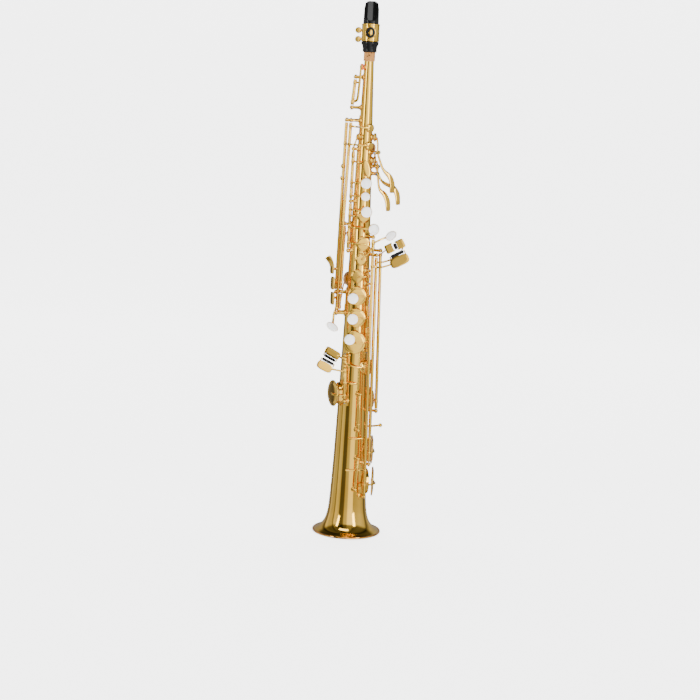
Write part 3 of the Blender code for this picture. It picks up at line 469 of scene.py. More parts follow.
def lacquer_look(name, pale, deep, tint):
    """Clear-lacquered brass: drifting colour, painted shade in its creases and hollows, fine
    polishing lines and a hard clear coat.
    """
    look = Look(name, Metallic=1.0, Coat_Weight=0.25, Coat_Roughness=0.04, Coat_IOR=1.5)
    drift = look.ramp(look.noise(22.0, 3.0), [(0.30, deep), (0.66, pale)])
    blush = look.ramp(look.noise(160.0, 5.0, 0.6), [(0.52, 0.0), (0.74, 0.22)])
    worn = look.mix(blush, drift, tint)
    # Painted shade: the colour is multiplied darker where the surface is hollow (low pointiness),
    # in creases and corners.
    crease = look.node("ShaderNodeNewGeometry").outputs["Pointiness"]
    shade = look.ramp(crease, [(0.44, 0.62), (0.50, 1.0)])
    look.colour(look.mix(1.0, worn, shade, "MULTIPLY"))
    smear = look.ramp(look.noise(60.0, 6.0, 0.65), [(0.30, 0.05), (0.75, 0.12)])
    look.roughness(smear)
    lines = look.noise(900.0, 3.0, 0.5, (1.0, 1.0, 0.05))
    return look.bump(lines, 0.05, 0.00004).material


def steel_look():
    """Blued spring steel with ground lines."""
    look = Look("blued_steel_look", Metallic=1.0, Anisotropic=0.3)
    look.colour(look.ramp(look.noise(90.0, 3.0), [(0.35, (0.20, 0.22, 0.28)),
                                                  (0.65, (0.42, 0.44, 0.50))]))
    look.roughness(look.ramp(look.noise(400.0, 4.0), [(0.3, 0.18), (0.7, 0.32)]))
    return look.bump(look.noise(1500.0, 2.0, 0.5, (1.0, 1.0, 0.04)), 0.06, 0.00005).material


def ebonite_look(name, low, high):
    """Polished hard rubber with faint handling marks."""
    look = Look(name, Specular_IOR_Level=0.22, Coat_Weight=0.12, Coat_Roughness=0.03)
    look.colour(look.ramp(look.noise(35.0, 4.0), [(0.3, (0.002, 0.002, 0.002)),
                                                  (0.75, (0.005, 0.005, 0.005))]))
    look.roughness(look.ramp(look.noise(120.0, 6.0, 0.65), [(0.3, low), (0.72, high)]))
    return look.bump(look.noise(700.0, 4.0), 0.06, 0.00006).material


def pearl_look():
    """Mother-of-pearl: milky bands with a faint pink and green play."""
    look = Look("mother_of_pearl_look", Coat_Weight=0.8, Coat_Roughness=0.04,
                Specular_IOR_Level=0.6)
    sheen = look.noise(70.0, 2.0, 0.5, (1.0, 1.0, 2.2))
    tone = look.ramp(sheen, [(0.30, (0.80, 0.86, 0.84)), (0.45, (0.93, 0.92, 0.90)),
                             (0.58, (0.95, 0.90, 0.88)), (0.72, (0.88, 0.90, 0.93))])
    streaks = look.ramp(look.noise(260.0, 5.0, 0.6, (1.0, 1.0, 0.3)), [(0.4, 0.93), (0.6, 1.0)])
    look.colour(look.mix(1.0, tone, streaks, "MULTIPLY"))
    look.roughness(look.ramp(look.noise(150.0, 3.0), [(0.3, 0.10), (0.7, 0.22)]))
    return look.bump(look.noise(300.0, 3.0), 0.05, 0.00005).material


def cork_look(name, pale, dark, fleck):
    """Sanded cork: warm grain with dark pores."""
    look = Look(name, Specular_IOR_Level=0.25)
    grain = look.ramp(look.noise(300.0, 6.0, 0.7), [(0.32, dark), (0.62, pale)])
    cells = look.node("ShaderNodeTexVoronoi", Scale=260.0)
    look.links.new(look.place, cells.inputs["Vector"])
    pores = look.ramp(cells.outputs["Distance"], [(0.20, 1.0), (0.32, 0.0)])
    look.colour(look.mix(pores, grain, fleck))
    look.roughness(look.ramp(look.noise(300.0, 4.0), [(0.3, 0.72), (0.7, 0.92)]))
    return look.bump(look.noise(900.0, 5.0, 0.7), 0.45, 0.0002).material


def cane_look():
    """Bare cane with long fibres."""
    look = Look("cane_look", Specular_IOR_Level=0.35)
    fibres = look.noise(1400.0, 4.0, 0.6, (1.0, 1.0, 0.02))
    look.colour(look.ramp(fibres, [(0.30, (0.50, 0.34, 0.14)), (0.55, (0.78, 0.62, 0.34)),
                                   (0.75, (0.86, 0.73, 0.46))]))
    look.roughness(look.ramp(look.noise(200.0, 4.0), [(0.3, 0.42), (0.7, 0.62)]))
    return look.bump(fibres, 0.2, 0.0001).material


def leather_look():
    """Tan kid leather of the pads."""
    look = Look("pad_leather_look", Specular_IOR_Level=0.4)
    grain = look.node("ShaderNodeTexVoronoi", Scale=1800.0)
    look.links.new(look.place, grain.inputs["Vector"])
    tone = look.ramp(look.noise(260.0, 5.0), [(0.3, (0.38, 0.20, 0.09)), (0.7, (0.58, 0.36, 0.19))])
    look.colour(tone)
    look.roughness(look.ramp(look.noise(500.0, 3.0), [(0.3, 0.5), (0.7, 0.68)]))
    return look.bump(grain.outputs["Distance"], 0.25, 0.0001).material


LACQUER = lacquer_look("gold_lacquer_look", (1.00, 0.62, 0.09), (0.97, 0.55, 0.06),
                       (0.90, 0.47, 0.05))
RIM_BRASS = lacquer_look("rim_brass_look", (0.96, 0.50, 0.12), (0.90, 0.42, 0.08),
                         (0.80, 0.34, 0.07))
STEEL = steel_look()
EBONITE = ebonite_look("ebonite_look", 0.06, 0.14)
RESIN = ebonite_look("black_resin_look", 0.22, 0.38)
PEARL = pearl_look()
CORK = cork_look("cork_look", (0.44, 0.20, 0.05), (0.20, 0.08, 0.02), (0.03, 0.010, 0.004))
RED_CORK = cork_look("red_cork_look", (0.74, 0.13, 0.010), (0.52, 0.07, 0.008),
                     (0.18, 0.015, 0.005))
CANE = cane_look()
LEATHER = leather_look()


# Tube.

def bell_profile():
    """Outer wall from the top down to the rim as (radius, height), its corners smoothed."""
    corners = [(radius, height) for height, radius in WALL + RIM_SEAT]
    return softened(corners, 26.0, 8)


def chimney(angle, height, radius):
    """Drawn chimney: a filleted foot that follows the wall, an upright wall and a rolled rim."""
    rim = wall_radius(height) + CHIMNEY_RISE
    fillet = min(CHIMNEY_FILLET, 0.45 * radius)
    bore = radius - CHIMNEY_WALL
    out = rim_of(angle)
    side = round_rim(angle)
    rows = []
    for step in range(7):
        turn = math.pi / 2.0 * step / 6.0
        rows.append((radius + fillet * (1.0 - math.sin(turn)), fillet * (1.0 - math.cos(turn)),
                     True))
    curl = CHIMNEY_WALL / 2.0
    for step in range(7):
        turn = math.pi * step / 6.0
        rows.append((radius - curl + curl * math.cos(turn), rim - curl * (1.0 - math.sin(turn)),
                     False))
    rows.append((bore, -1.0, True))
    rings = []
    sides = 64 if radius > 8.0 else 40
    for reach, level, on_wall in rows:
        ring = []
        for index in range(sides):
            turn = 2.0 * math.pi * index / sides
            up = reach * math.cos(turn)
            across = reach * math.sin(turn)
            local = wall_radius(height + up)
            ground = math.sqrt(max(local ** 2 - across ** 2, 0.0)) - 0.04
            depth = ground + level if on_wall else level
            ring.append(out * depth + side * across + upward(height + up))
        rings.append(ring)
    return skin(rings, True)


def subtract(target, cutters):
    """Exact boolean cut of every shape from a shape; both are bmeshes."""
    scene_collection = bpy.context.scene.collection
    data = bpy.data.meshes.new("cut_target")
    target.to_mesh(data)
    target.free()
    holder = bpy.data.objects.new("cut_target", data)
    scene_collection.objects.link(holder)
    for cutter in cutters:
        cutter_data = bpy.data.meshes.new("cutter")
        cutter.to_mesh(cutter_data)
        cutter.free()
        tool = bpy.data.objects.new("cutter", cutter_data)
        scene_collection.objects.link(tool)
        step = holder.modifiers.new("Boolean", "BOOLEAN")
        step.operation = "DIFFERENCE"
        step.solver = "EXACT"
        step.object = tool
        graph = bpy.context.evaluated_depsgraph_get()
        holder.data = bpy.data.meshes.new_from_object(holder.evaluated_get(graph))
        holder.modifiers.remove(step)
        bpy.data.objects.remove(tool)
    result = bmesh.new()
    result.from_mesh(holder.data)
    bpy.data.objects.remove(holder)
    return result


# Faces of the wall, told from a cut's sides by how they face and by their size in square metres,
# and how nearly a turned normal has to match a face's own.
LEAST_FACING = 0.25
LARGEST_WALL_FACE = 3e-4
LEAST_MATCH = 0.97


def smooth_wall_normals(made, profile):
    """Sets the tube's shading normals from its turned profile, so cuts leave no marks."""
    slopes = [((upper[1] + lower[1]) / 2.0,
               math.atan2(lower[0] - upper[0], upper[1] - lower[1]))
              for upper, lower in zip(profile, profile[1:])]

    def lean(height):
        for (high, first), (low, second) in zip(slopes, slopes[1:]):
            if height >= low:
                share = min(max((height - low) / (high - low), 0.0), 1.0)
                return second + share * (first - second)
        return slopes[-1][1]

    data = made.data
    normals = [Vector(corner.vector) for corner in data.corner_normals]
    for face in data.polygons:
        centre = face.center - AXIS
        flat = flattened(centre)
        if flat.length < 1e-6:
            continue
        facing = face.normal.dot(flat.normalized())
        if abs(facing) < LEAST_FACING or face.area > LARGEST_WALL_FACE:
            continue
        for corner in face.loop_indices:
            place = (data.vertices[data.loops[corner].vertex_index].co - AXIS) / METRES
            angle = lean(place.z)
            away = flattened(place).normalized() * math.cos(angle)
            normal = away + Vector((0.0, 0.0, math.sin(angle)))
            expected = abs(face.normal.dot(normal))
            if expected > LEAST_MATCH:
                normals[corner] = normal if facing > 0.0 else -normal
    data.normals_split_custom_set(normals)


def make_tube():
    """Conical tube and bell with its tone holes cut, and the drawn chimneys."""
    outer = bell_profile()
    inner = [(radius - WALL_THICKNESS, height) for radius, height in outer]
    tube = lathe(outer + inner[::-1], 128, hollow=True)
    cuts = []
    for angle, height, radius, cup in HOLES.values():
        cuts.append(rod(spot(angle, 0.0, height), spot(angle, 60.0, height),
                        radius - CHIMNEY_WALL, 40))
    tube = subtract(tube, cuts)
    made = piece("horn_tube", [tube], LACQUER, FIXED, ("body_tube",))
    smooth_wall_normals(made, outer)
    chimneys = [chimney(angle, height, radius) for angle, height, radius, cup in HOLES.values()]
    vent_rim = wall_radius(VENT_HEIGHT) + VENT_RISE
    chimneys.append(rod(spot(VENT_ANGLE, 4.0, VENT_HEIGHT),
                        spot(VENT_ANGLE, vent_rim, VENT_HEIGHT), VENT_RADIUS, 24, 0.8))
    foot = softened([(0.0, 1.3), (2.4, 1.2), (3.0, -0.6), (0.0, -0.6)], 0.5, 3)
    wall = spot(VENT_ANGLE, wall_radius(VENT_HEIGHT), VENT_HEIGHT)
    chimneys.append(lathe(foot, 32, frame_at(wall, rim_of(VENT_ANGLE))))
    piece("horn_chimneys", chimneys, LACQUER, FIXED)


def make_rim():
    """Rolled wire edge of the bell, a ring of softly squared section."""
    middle = RIM_HEIGHT / 2.0
    section = [(RIM_RADIUS + RIM_HALF_WIDTH * across, middle + middle * up)
               for across, up in superellipse(24, RIM_POWER, 0.0)]
    piece("bell_rim", [lathe(section, 144, hollow=True)], RIM_BRASS, FIXED,
          ("bell_rim_ring",))


def slotted_head(centre, heading, radius=1.35, height=0.7):
    """Head of a pivot screw: a disc split by its slot."""
    place = frame_at(centre, heading)
    shapes = [lathe(softened([(0.0, 0.35 * height), (radius, 0.35 * height), (radius, -0.6),
                              (0.0, -0.6)], 0.1, 2), 24, place)]
    half_slot = 0.16 * radius
    for sign in (-1.0, 1.0):
        outline = []
        start = math.asin(half_slot / radius)
        for step in range(17):
            turn = start + (math.pi - 2.0 * start) * step / 16
            outline.append((radius * math.cos(turn), sign * radius * math.sin(turn)))
        rings = [[Vector((x * scale, y * scale if abs(y) > 1.2 * half_slot else y, level))
                  for x, y in outline]
                 for level, scale in ((0.3 * height, 1.0), (0.85 * height, 1.0),
                                      (height, 0.92))]
        half = skin(rings)
        half.transform(place)
        shapes.append(half)
    return shapes


PALM_PIVOTS = {}
PALM_HALF = 4.0
PALM_FACE = Vector((0.56, -0.83, 0.0))
# Palm keys: middle of the hinge, then the points of the lever from there to its touch.
PALMS = {
    "palm_f": ((15.8, -5.6, 507.5), [(24.8, -10.0, 485.7), (34.6, -9.4, 477.5), (38.0, -8.6, 468.0),
                                     (37.6, -8.2, 456.5)]),
    "palm_eb": ((14.0, 12.0, 489.0), [(24.0, 11.0, 468.8), (40.0, 8.0, 462.5), (45.6, 8.0, 454.0),
                                      (47.0, 8.0, 440.0)]),
    "palm_d": ((17.4, -1.4, 480.0), [(21.2, -1.0, 459.6), (29.0, 0.6, 453.5), (33.4, 1.4, 444.0),
                                     (34.4, 1.8, 431.7)]),
}
THUMB_LEVER_HEIGHT = 462.0
THUMB_REACH = PALM_HALF + TUBE_END_GAP
THUMB_DEPTH = wall_radius(THUMB_LEVER_HEIGHT) + 6.6
THUMB_PIVOT = [Vector((side, THUMB_DEPTH, THUMB_LEVER_HEIGHT))
               for side in (-THUMB_REACH, THUMB_REACH)]
GUARD_RODS = {"guard_rod_upper": ((9.6, -24.0, 191.5), (9.6, -25.4, 143.5)),
              "guard_rod_lower": ((11.6, -25.4, 105.0), (9.4, -27.6, 63.5))}


def crown(hole, offset=0.0, beyond=0.5):
    """Point on the crown of a cup, `offset` round the tube from its middle."""
    angle, height = HOLES[hole][:2]
    level = wall_radius(height) + CHIMNEY_RISE + GAP + CUP_HEIGHT + beyond
    return spot(angle, level, height) + round_rim(angle) * offset


def place_palm_pivots():
    """Works out the two post points of each palm key's short crosswise hinge."""
    reach = PALM_HALF + TUBE_END_GAP
    for hole, (pivot, route) in PALMS.items():
        pivot = Vector(pivot)
        outward = flattened(pivot).normalized()
        lever = Vector(route[0]) - crown(hole)
        across = outward.cross(lever).normalized()
        across.z = 0.0
        across.normalize()
        PALM_PIVOTS[hole] = (pivot - across * reach, pivot + across * reach)


def post(point, heading):
    """Turned post: a domed foot, a waisted stem and a ball with flats where the hinge ends."""
    point = Vector(point)
    level = upward(point.z)
    outward = (point - level).normalized()
    wall = wall_radius(point.z)
    height = (point - level).length - wall
    foot = 4.0 if height > 3.5 else 3.0
    profile = [(0.0, height), (2.2, height), (1.85, height * 0.6), (2.2, 1.6),
               (foot - 0.9, 1.15), (foot, 0.45), (foot, -0.9), (0.0, -0.9)]
    shapes = [lathe(softened(profile, 0.5, 3), 28, frame_at(level + outward * wall, outward))]
    turns = [math.pi * band / 16 for band in range(17)]
    flat = 0.86 * POST_BALL_RADIUS
    ball_profile = [(POST_BALL_RADIUS * math.sin(turn),
                     max(min(POST_BALL_RADIUS * math.cos(turn), flat), -flat)) for turn in turns]
    ball_profile[0] = (0.0, flat)
    ball_profile[-1] = (0.0, -flat)
    shapes.append(lathe(ball_profile, 32, frame_at(point, heading)))
    return shapes


HELD = [("lh_stack", (379.0, 443.5, 511.0)), ("rh_stack", (249.0, 337.0, 354.0)),
        ("side_e", (322.7, 547.5)), ("high_f_sharp", (295.5, 547.5)),
        ("side_low", (297.0, 323.5, 413.0)), ("pinky", (181.0, 227.5, 241.5)),
        ("low_bb", (54.0, 377.0)), ("low_b", (97.0, 375.0)),
        ("low_c_sharp", (167.5, 380.5)), ("g_sharp", (399.0,)),
        ("octave_neck", (564.0, 603.0)), ("octave_body", (484.0, 508.0))]

# Long ribs soldered under the posts: hinge line, low end and high end.
RIBS = (("lh_stack", 373.0, 517.0), ("rh_stack", 243.0, 360.0), ("side_low", 291.0, 329.0),
        ("side_e", 541.0, 554.0), ("octave_body", 478.0, 514.0),
        ("low_c_sharp", 161.0, 199.0), ("low_b", 91.0, 118.0), ("low_bb", 48.0, 66.0),
        ("pinky", 174.0, 249.0))
RIB_WIDTH = 5.6
RIB_THICKNESS = 1.4

# Bumper arm beside low B.
BUMPER_ANGLE = 98
BUMPER_HEIGHT = 144.0
BUMPER_TIP = Vector((38.8, 3.0, 146.0))


def bumper():
    """Arm that stops the low B key's opening, with a ball at its tip."""
    foot = spot(BUMPER_ANGLE, wall_radius(BUMPER_HEIGHT), BUMPER_HEIGHT)
    base = [(0.0, 1.6), (3.0, 1.2), (4.0, 0.4), (4.0, -0.9), (0.0, -0.9)]
    return [lathe(softened(base, 0.5, 3), 32, frame_at(foot, rim_of(BUMPER_ANGLE))),
            bar([foot, spot(BUMPER_ANGLE, 28.0, BUMPER_HEIGHT), BUMPER_TIP], (0.0, 0.0, 1.0),
                (2.6,), 2.6, 2.0),
            ball(BUMPER_TIP, 2.6, 28, 14)]


def make_posts():
    """Posts of every hinge line, the ribs under them, and the lines' slotted pivot screws."""
    posts = []
    screws = []
    pairs = [(on_line(line, heights[0]), on_line(line, heights[-1])) for line, heights in HELD
             if len(heights) > 1]
    for line, heights in HELD:
        low, high = (Vector(point) for point in LINES[line])
        for height in heights:
            posts += post(on_line(line, height), high - low)
    short_lines = [*PALM_PIVOTS.values(), tuple(THUMB_PIVOT)]
    pairs += short_lines
    for ends in short_lines + list(GUARD_RODS.values()):
        low, high = (Vector(end) for end in ends)
        posts += post(low, high - low) + post(high, high - low)
    reach = 0.86 * POST_BALL_RADIUS
    for low, high in pairs:
        heading = (high - low).normalized()
        screws += slotted_head(low - heading * reach, -heading)
        screws += slotted_head(high + heading * reach, heading)
    posts += bumper()
    for line, low, high in RIBS:
        path = []
        for height in (low, (low + high) / 2.0, high):
            point = on_line(line, height)
            outward = flattened(point).normalized()
            path.append(outward * (wall_radius(height) + 0.3) + upward(height))
        posts.append(bar(path, Vector((path[1].x, path[1].y, 0.0)), (RIB_WIDTH,), RIB_THICKNESS,
                         4.0, 32))
    piece("keywork_posts", posts, LACQUER, FIXED)
    piece("pivot_screws", screws, STEEL, FIXED)


# Top of the instrument.

CORK_TOP = 644.0
CORK_FOOT = 623.5
CORK_RADIUS = 7.4
SHANK_FOOT = 635.0
TIP = 700.0
BEAK_LOW = 672.0
TABLE_DEPTH = 6.4
LIGATURE_LOW = 649.0
LIGATURE_HIGH = 671.0
LIGATURE_RADIUS = 11.7


def make_cork():
    """Cork sleeve glued round the top of the tube, with its sanded taper."""
    profile = [(wall_radius(CORK_TOP) - 0.1, CORK_TOP), (CORK_RADIUS - 0.6, CORK_TOP),
               (CORK_RADIUS, CORK_TOP - 1.5), (CORK_RADIUS, CORK_FOOT + 1.0),
               (CORK_RADIUS - 0.5, CORK_FOOT), (wall_radius(CORK_FOOT) - 0.1, CORK_FOOT)]
    piece("neck_cork_sleeve", [lathe(softened(profile, 0.5, 3, True), 64, hollow=True)], CORK,
          FIXED, ("neck_cork",))


def make_mouthpiece():
    """Mouthpiece: ringed shank, barrel, and a beak that slopes down to the tip."""
    outer = softened([(4.4, TIP), (8.3, TIP - 2.6), (9.5, TIP - 10.0), (10.1, BEAK_LOW),
                      (10.3, LIGATURE_LOW), (11.35, 647.8), (11.25, 645.6), (9.6, 642.6),
                      (9.3, 640.0), (9.0, 639.5), (9.0, 639.0), (9.2, 638.5),
                      (9.1, SHANK_FOOT + 0.7), (8.5, SHANK_FOOT),
                      (CORK_RADIUS + GAP, SHANK_FOOT + 0.2), (CORK_RADIUS + GAP, 650.0),
                      (0.0, 651.0)], 1.0, 4)
    sides = 96
    rings = []
    rows = []
    for (radius, height), (next_radius, next_height) in zip(outer, outer[1:]):
        span = abs(next_height - height)
        parts = max(1, int(span / 1.5)) if radius > 4.0 and height > 643.0 else 1
        for part in range(parts):
            share = part / parts
            rows.append((radius + (next_radius - radius) * share,
                         height + (next_height - height) * share))
    rows.append(outer[-1])
    inside = False
    for radius, height in rows:
        if radius <= CORK_RADIUS + GAP + 0.05 and height < 652.0:
            inside = True
        if radius < 1e-6:
            rings.append([upward(height)])
            continue
        ring = []
        rise = max(height - BEAK_LOW - 2.0, 0.0)
        slope = -10.6 + 13.4 * (rise / (TIP - BEAK_LOW - 2.0)) ** 0.86
        for index in range(sides):
            turn = 2.0 * math.pi * index / sides
            x = radius * math.cos(turn)
            y = radius * math.sin(turn)
            if not inside:
                if rise > 0.0:
                    saddle = slope + 0.035 * x * x
                    y = soft_most(y, saddle, 0.5)
                if height > LIGATURE_LOW - 3.0:
                    y = -soft_most(-y, -TABLE_DEPTH, 0.25)
            ring.append(Vector((x, y, height)))
        rings.append(ring)
    piece("mouthpiece_body", [skin(rings)], EBONITE, "mouthpiece_group",
          ("mouthpiece",), sharp=55.0)


def soft_most(first, second, blend):
    """Greater of two values, rounded where they cross."""
    share = max(blend - abs(first - second), 0.0) / blend
    return max(first, second) + share * share * blend * 0.25


def make_reed():
    """Cane reed on the table: full-depth heel, then a scraped vamp that thins to the tip."""
    rings = []
    back = TABLE_DEPTH + GAP
    rows = [(652.0, 2.5), (652.4, 2.6), (674.0, 2.6), (676.0, 2.45), (680.0, 1.95), (686.0, 1.3),
            (692.0, 0.8), (696.6, 0.5), (697.5, 0.35)]
    for height, depth in rows:
        taper = 0.0 if height < 694.0 else 0.5 * (height - 694.0) / 3.5
        half = 6.2 - taper
        ring = [Vector((-half, back, height)), Vector((half, back, height))]
        for step in range(13):
            share = step / 12.0
            x = half * (1.0 - 2.0 * share)
            arch = (1.0 - (x / half) ** 2) ** 0.5 if abs(x) < half else 0.0
            ring.append(Vector((x, back + depth * (0.38 + 0.62 * arch), height)))
        rings.append(ring)
    piece("reed_cane", [skin(rings)], CANE, "mouthpiece_group", ("reed",), sharp=30.0)


SCREW_HEIGHTS = {"ligature_screw_upper": 662.6, "ligature_screw_lower": 651.2}
SCREW_LINE_X = -12.6
SCREW_LINE_Y = 11.6
OVAL_HEIGHT = 660.0
# The oval's base, dark field and middle: distance out of the band, width, height, thickness, bulge.
OVALS = ((-0.1, 13.4, 15.6, 1.8, 0.0), (0.78, 11.6, 13.8, 0.5, 0.0), (1.1, 4.6, 7.6, 0.7, 0.1))


def make_ligature():
    """Band with beaded edges, a plain oval plate, and two pairs of lugs joined by barrels."""
    inner = LIGATURE_RADIUS - 1.0
    band = [(inner, LIGATURE_HIGH - 0.2), (inner, LIGATURE_LOW + 0.2),
            (LIGATURE_RADIUS, LIGATURE_LOW), (LIGATURE_RADIUS, LIGATURE_LOW + 1.6),
            (LIGATURE_RADIUS - 0.35, LIGATURE_LOW + 2.0),
            (LIGATURE_RADIUS - 0.35, LIGATURE_HIGH - 2.0),
            (LIGATURE_RADIUS, LIGATURE_HIGH - 1.6), (LIGATURE_RADIUS, LIGATURE_HIGH)]
    shapes = [lathe(softened(band, 0.35, 3, True), 96, hollow=True)]
    oval, field, centre = (
        plate((0.0, -LIGATURE_RADIUS - out, OVAL_HEIGHT), (0.0, -1.0, 0.0), (1.0, 0.0, 0.0),
              across, up, thickness, 2.0, bulge=bulge)
        for out, across, up, thickness, bulge in OVALS)
    shapes += [oval, centre]
    piece("ligature_oval_field", [field], RESIN, "mouthpiece_group")
    for height in SCREW_HEIGHTS.values():
        for start, end in ((3.0, 7.0), (-4.6, -1.4)):
            shapes.append(bar([(start, SCREW_LINE_Y, height), (end, SCREW_LINE_Y, height)],
                              (0.0, 1.0, 0.0), (4.0,), 3.6, 3.2))
        shapes.append(rod((2.8, SCREW_LINE_Y + 2.4, height), (7.2, SCREW_LINE_Y + 2.4, height),
                          2.0, 28))
    piece("ligature_band", shapes, LACQUER, "mouthpiece_group", ("ligature",))


def make_ligature_screws():
    """Thumbscrews that close the ligature: threaded shank, collar and a flat finger head."""
    for name, height in SCREW_HEIGHTS.items():
        line_y = SCREW_LINE_Y + 2.6
        inner = Vector((2.4, line_y, height))
        outer = Vector((SCREW_LINE_X, line_y, height))
        length = (inner - outer).length
        turns = 26
        profile = [(0.0, 0.0)]
        for step in range(turns):
            level = length * step / turns
            profile += [(0.95, level), (1.1, level + 0.5 * length / turns)]
        profile += [(0.95, length), (0.0, length)]
        shank = lathe(profile, 24, frame_at(outer, inner - outer))
        collar = rod(outer + Vector((-0.4, 0.0, 0.0)), outer + Vector((1.6, 0.0, 0.0)), 1.8)
        head = plate(outer - Vector((3.0, 0.0, 0.0)), (0.0, 1.0, 0.0), (1.0, 0.0, 0.0),
                     8.4, 8.0, 1.7, 2.0)
        piece(name + "_turned", [shank, collar, head], LACQUER, name + "_body",
              (name,))


# Back of the instrument.

THUMB_REST_HEIGHT = 430.0
THUMB_HOOK_HEIGHT = 300.0
STRAP_RING_HEIGHT = 345.0
STRAP_RING_RADIUS = 6.2


def make_thumb_pieces():
    """Left thumb's button, right thumb's hook with its screw plate, and the strap ring."""
    wall = wall_radius(THUMB_REST_HEIGHT)
    place = frame_at(spot(180, wall, THUMB_REST_HEIGHT), rim_of(180))
    button = softened([(0.0, 3.5), (3.2, 3.7), (5.6, 3.6), (6.4, 2.9), (6.4, 1.4), (5.0, 0.7),
                       (3.6, 0.4), (3.6, -0.6), (0.0, -0.6)], 0.6, 3)
    piece("thumb_button", [lathe(button, 56, place)], RESIN, FIXED,
          ("thumb_rest",))
    wall = wall_radius(THUMB_HOOK_HEIGHT) + GAP + 0.6
    low, high = THUMB_HOOK_HEIGHT - 8.0, THUMB_HOOK_HEIGHT + 8.0
    base = bar([(0.0, wall, low), (0.0, wall - 0.45, high)], (0.0, 1.0, 0.0), (9.0,), 1.2, 5.0, 32)
    hook = bar([(-1.0, wall - 0.2, THUMB_HOOK_HEIGHT - 1.0),
                (-1.5, wall + 6.0, THUMB_HOOK_HEIGHT - 1.0),
                (-4.0, wall + 13.0, THUMB_HOOK_HEIGHT - 1.0),
                (-10.0, wall + 17.0, THUMB_HOOK_HEIGHT - 1.0),
                (-17.0, wall + 16.5, THUMB_HOOK_HEIGHT - 1.0)], (0.3, -1.0, 0.0), (9.0,), 1.8,
               4.5, 32)
    piece("thumb_hook_bent", [base, hook], LACQUER, FIXED, ("thumb_hook",))
    screws = []
    for height in (THUMB_HOOK_HEIGHT - 6.0, THUMB_HOOK_HEIGHT + 6.2):
        screws += slotted_head((0.0, wall + 0.5, height), (0.0, 1.0, 0.0), 1.3, 0.6)
    wall = wall_radius(STRAP_RING_HEIGHT) + GAP
    centre = Vector((0.0, wall + STRAP_RING_RADIUS + 1.6, STRAP_RING_HEIGHT))
    ring = []
    for index in range(64):
        turn = 2.0 * math.pi * index / 64
        out = Vector((0.0, math.cos(turn), math.sin(turn)))
        around = [Vector((math.cos(step), 0.0, 0.0)) + out * math.sin(step)
                  for step in (2.0 * math.pi * side / 16 for side in range(16))]
        ring.append([centre + out * STRAP_RING_RADIUS + way * 1.3 for way in around])
    foot = bar([(0.0, wall + 0.6, STRAP_RING_HEIGHT - 7.0),
                (0.0, wall + 0.2, STRAP_RING_HEIGHT + 7.0)], (0.0, 1.0, 0.0), (6.0,), 1.2, 3.0, 32)
    stem = rod((0.0, wall + 0.4, STRAP_RING_HEIGHT), (0.0, wall + 2.0, STRAP_RING_HEIGHT), 1.8)
    piece("strap_ring_loop", [skin(ring, True), foot, stem], LACQUER, FIXED,
          ("strap_ring",))
    for height in (STRAP_RING_HEIGHT - 4.6, STRAP_RING_HEIGHT + 4.8):
        screws += slotted_head((0.0, wall + 1.0, height), (0.0, 1.0, 0.0), 1.0, 0.6)
    piece("base_plate_screws", screws, STEEL, FIXED)


def make_fixed_rods():
    """Steel rods that carry the stack keys, and the guard rods beside the bell keys' feet."""
    for name, line, low, high in (("lh_stack_rod", "lh_stack", 376.0, 513.6),
                                  ("rh_stack_rod", "rh_stack", 246.2, 356.6)):
        piece(name + "_steel", [rod(on_line(line, low), on_line(line, high), STEEL_ROD_RADIUS)],
              STEEL, FIXED, (name,))
    for name, (low, high) in GUARD_RODS.items():
        low, high = Vector(low), Vector(high)
        heading = (high - low).normalized()
        inset = heading * (POST_BALL_RADIUS * 0.8)
        shapes = [rod(low + inset, high - inset, 1.5)]
        for share in (0.16, 0.84):
            middle = low.lerp(high, share)
            shapes.append(rod(middle - heading * 0.9, middle + heading * 0.9, 1.9, edge=0.5))
        piece(name + "_turned", shapes, LACQUER, FIXED, (name,))


# Keys.

def seat_of(hole):
    """Frame in the middle of a closed pad's face, its Z axis pointing away from the tube."""
    angle, height = HOLES[hole][:2]
    return frame_at(spot(angle, wall_radius(height) + CHIMNEY_RISE + GAP, height), rim_of(angle))


def cup_sides(hole):
    """Number of sides that a cup is turned with."""
    return 64 if HOLES[hole][3] > 9.0 else 44


def cup_shell(hole):
    """Pad cup: a stepped dome with a rolled skirt, open below for its pad."""
    radius = HOLES[hole][3]
    top = CUP_HEIGHT
    profile = [(0.0, top - 0.05), (0.5 * radius, top - 0.15), (0.74 * radius, top - 0.35),
               (0.80 * radius, top - 0.75), (0.93 * radius, top - 1.05), (radius, top - 1.7),
               (radius, PAD_DROP), (radius - 0.4, PAD_DROP - 0.05), (radius - 0.45, PAD_DROP + 0.5),
               (0.0, PAD_DROP + 0.5)]
    return lathe(softened(profile, 0.45, 3), cup_sides(hole), seat_of(hole))


def cup_pad(hole):
    """Leather-covered felt disc that fills a cup."""
    chimney_radius, radius = HOLES[hole][2:]
    edge = radius - 0.55
    profile = [(0.0, PAD_DROP + 0.45), (edge, PAD_DROP + 0.45), (edge + 0.1, 0.5),
               (edge - 0.5, 0.02), (chimney_radius + 0.2, 0.12), (chimney_radius - 0.45, 0.2),
               (chimney_radius - 1.4, 0.04), (0.0, 0.05)]
    return lathe(softened(profile, 0.3, 3), cup_sides(hole), seat_of(hole))


def resonator(hole):
    """Domed metal disc riveted to the middle of a pad."""
    edge = 0.62 * HOLES[hole][2]
    profile = [(0.0, 0.2), (edge, 0.1), (edge, -0.1), (0.4 * edge, -0.35), (0.3 * edge, -0.6),
               (0.0, -0.65)]
    return lathe(softened(profile, 0.15, 2), 40, seat_of(hole))


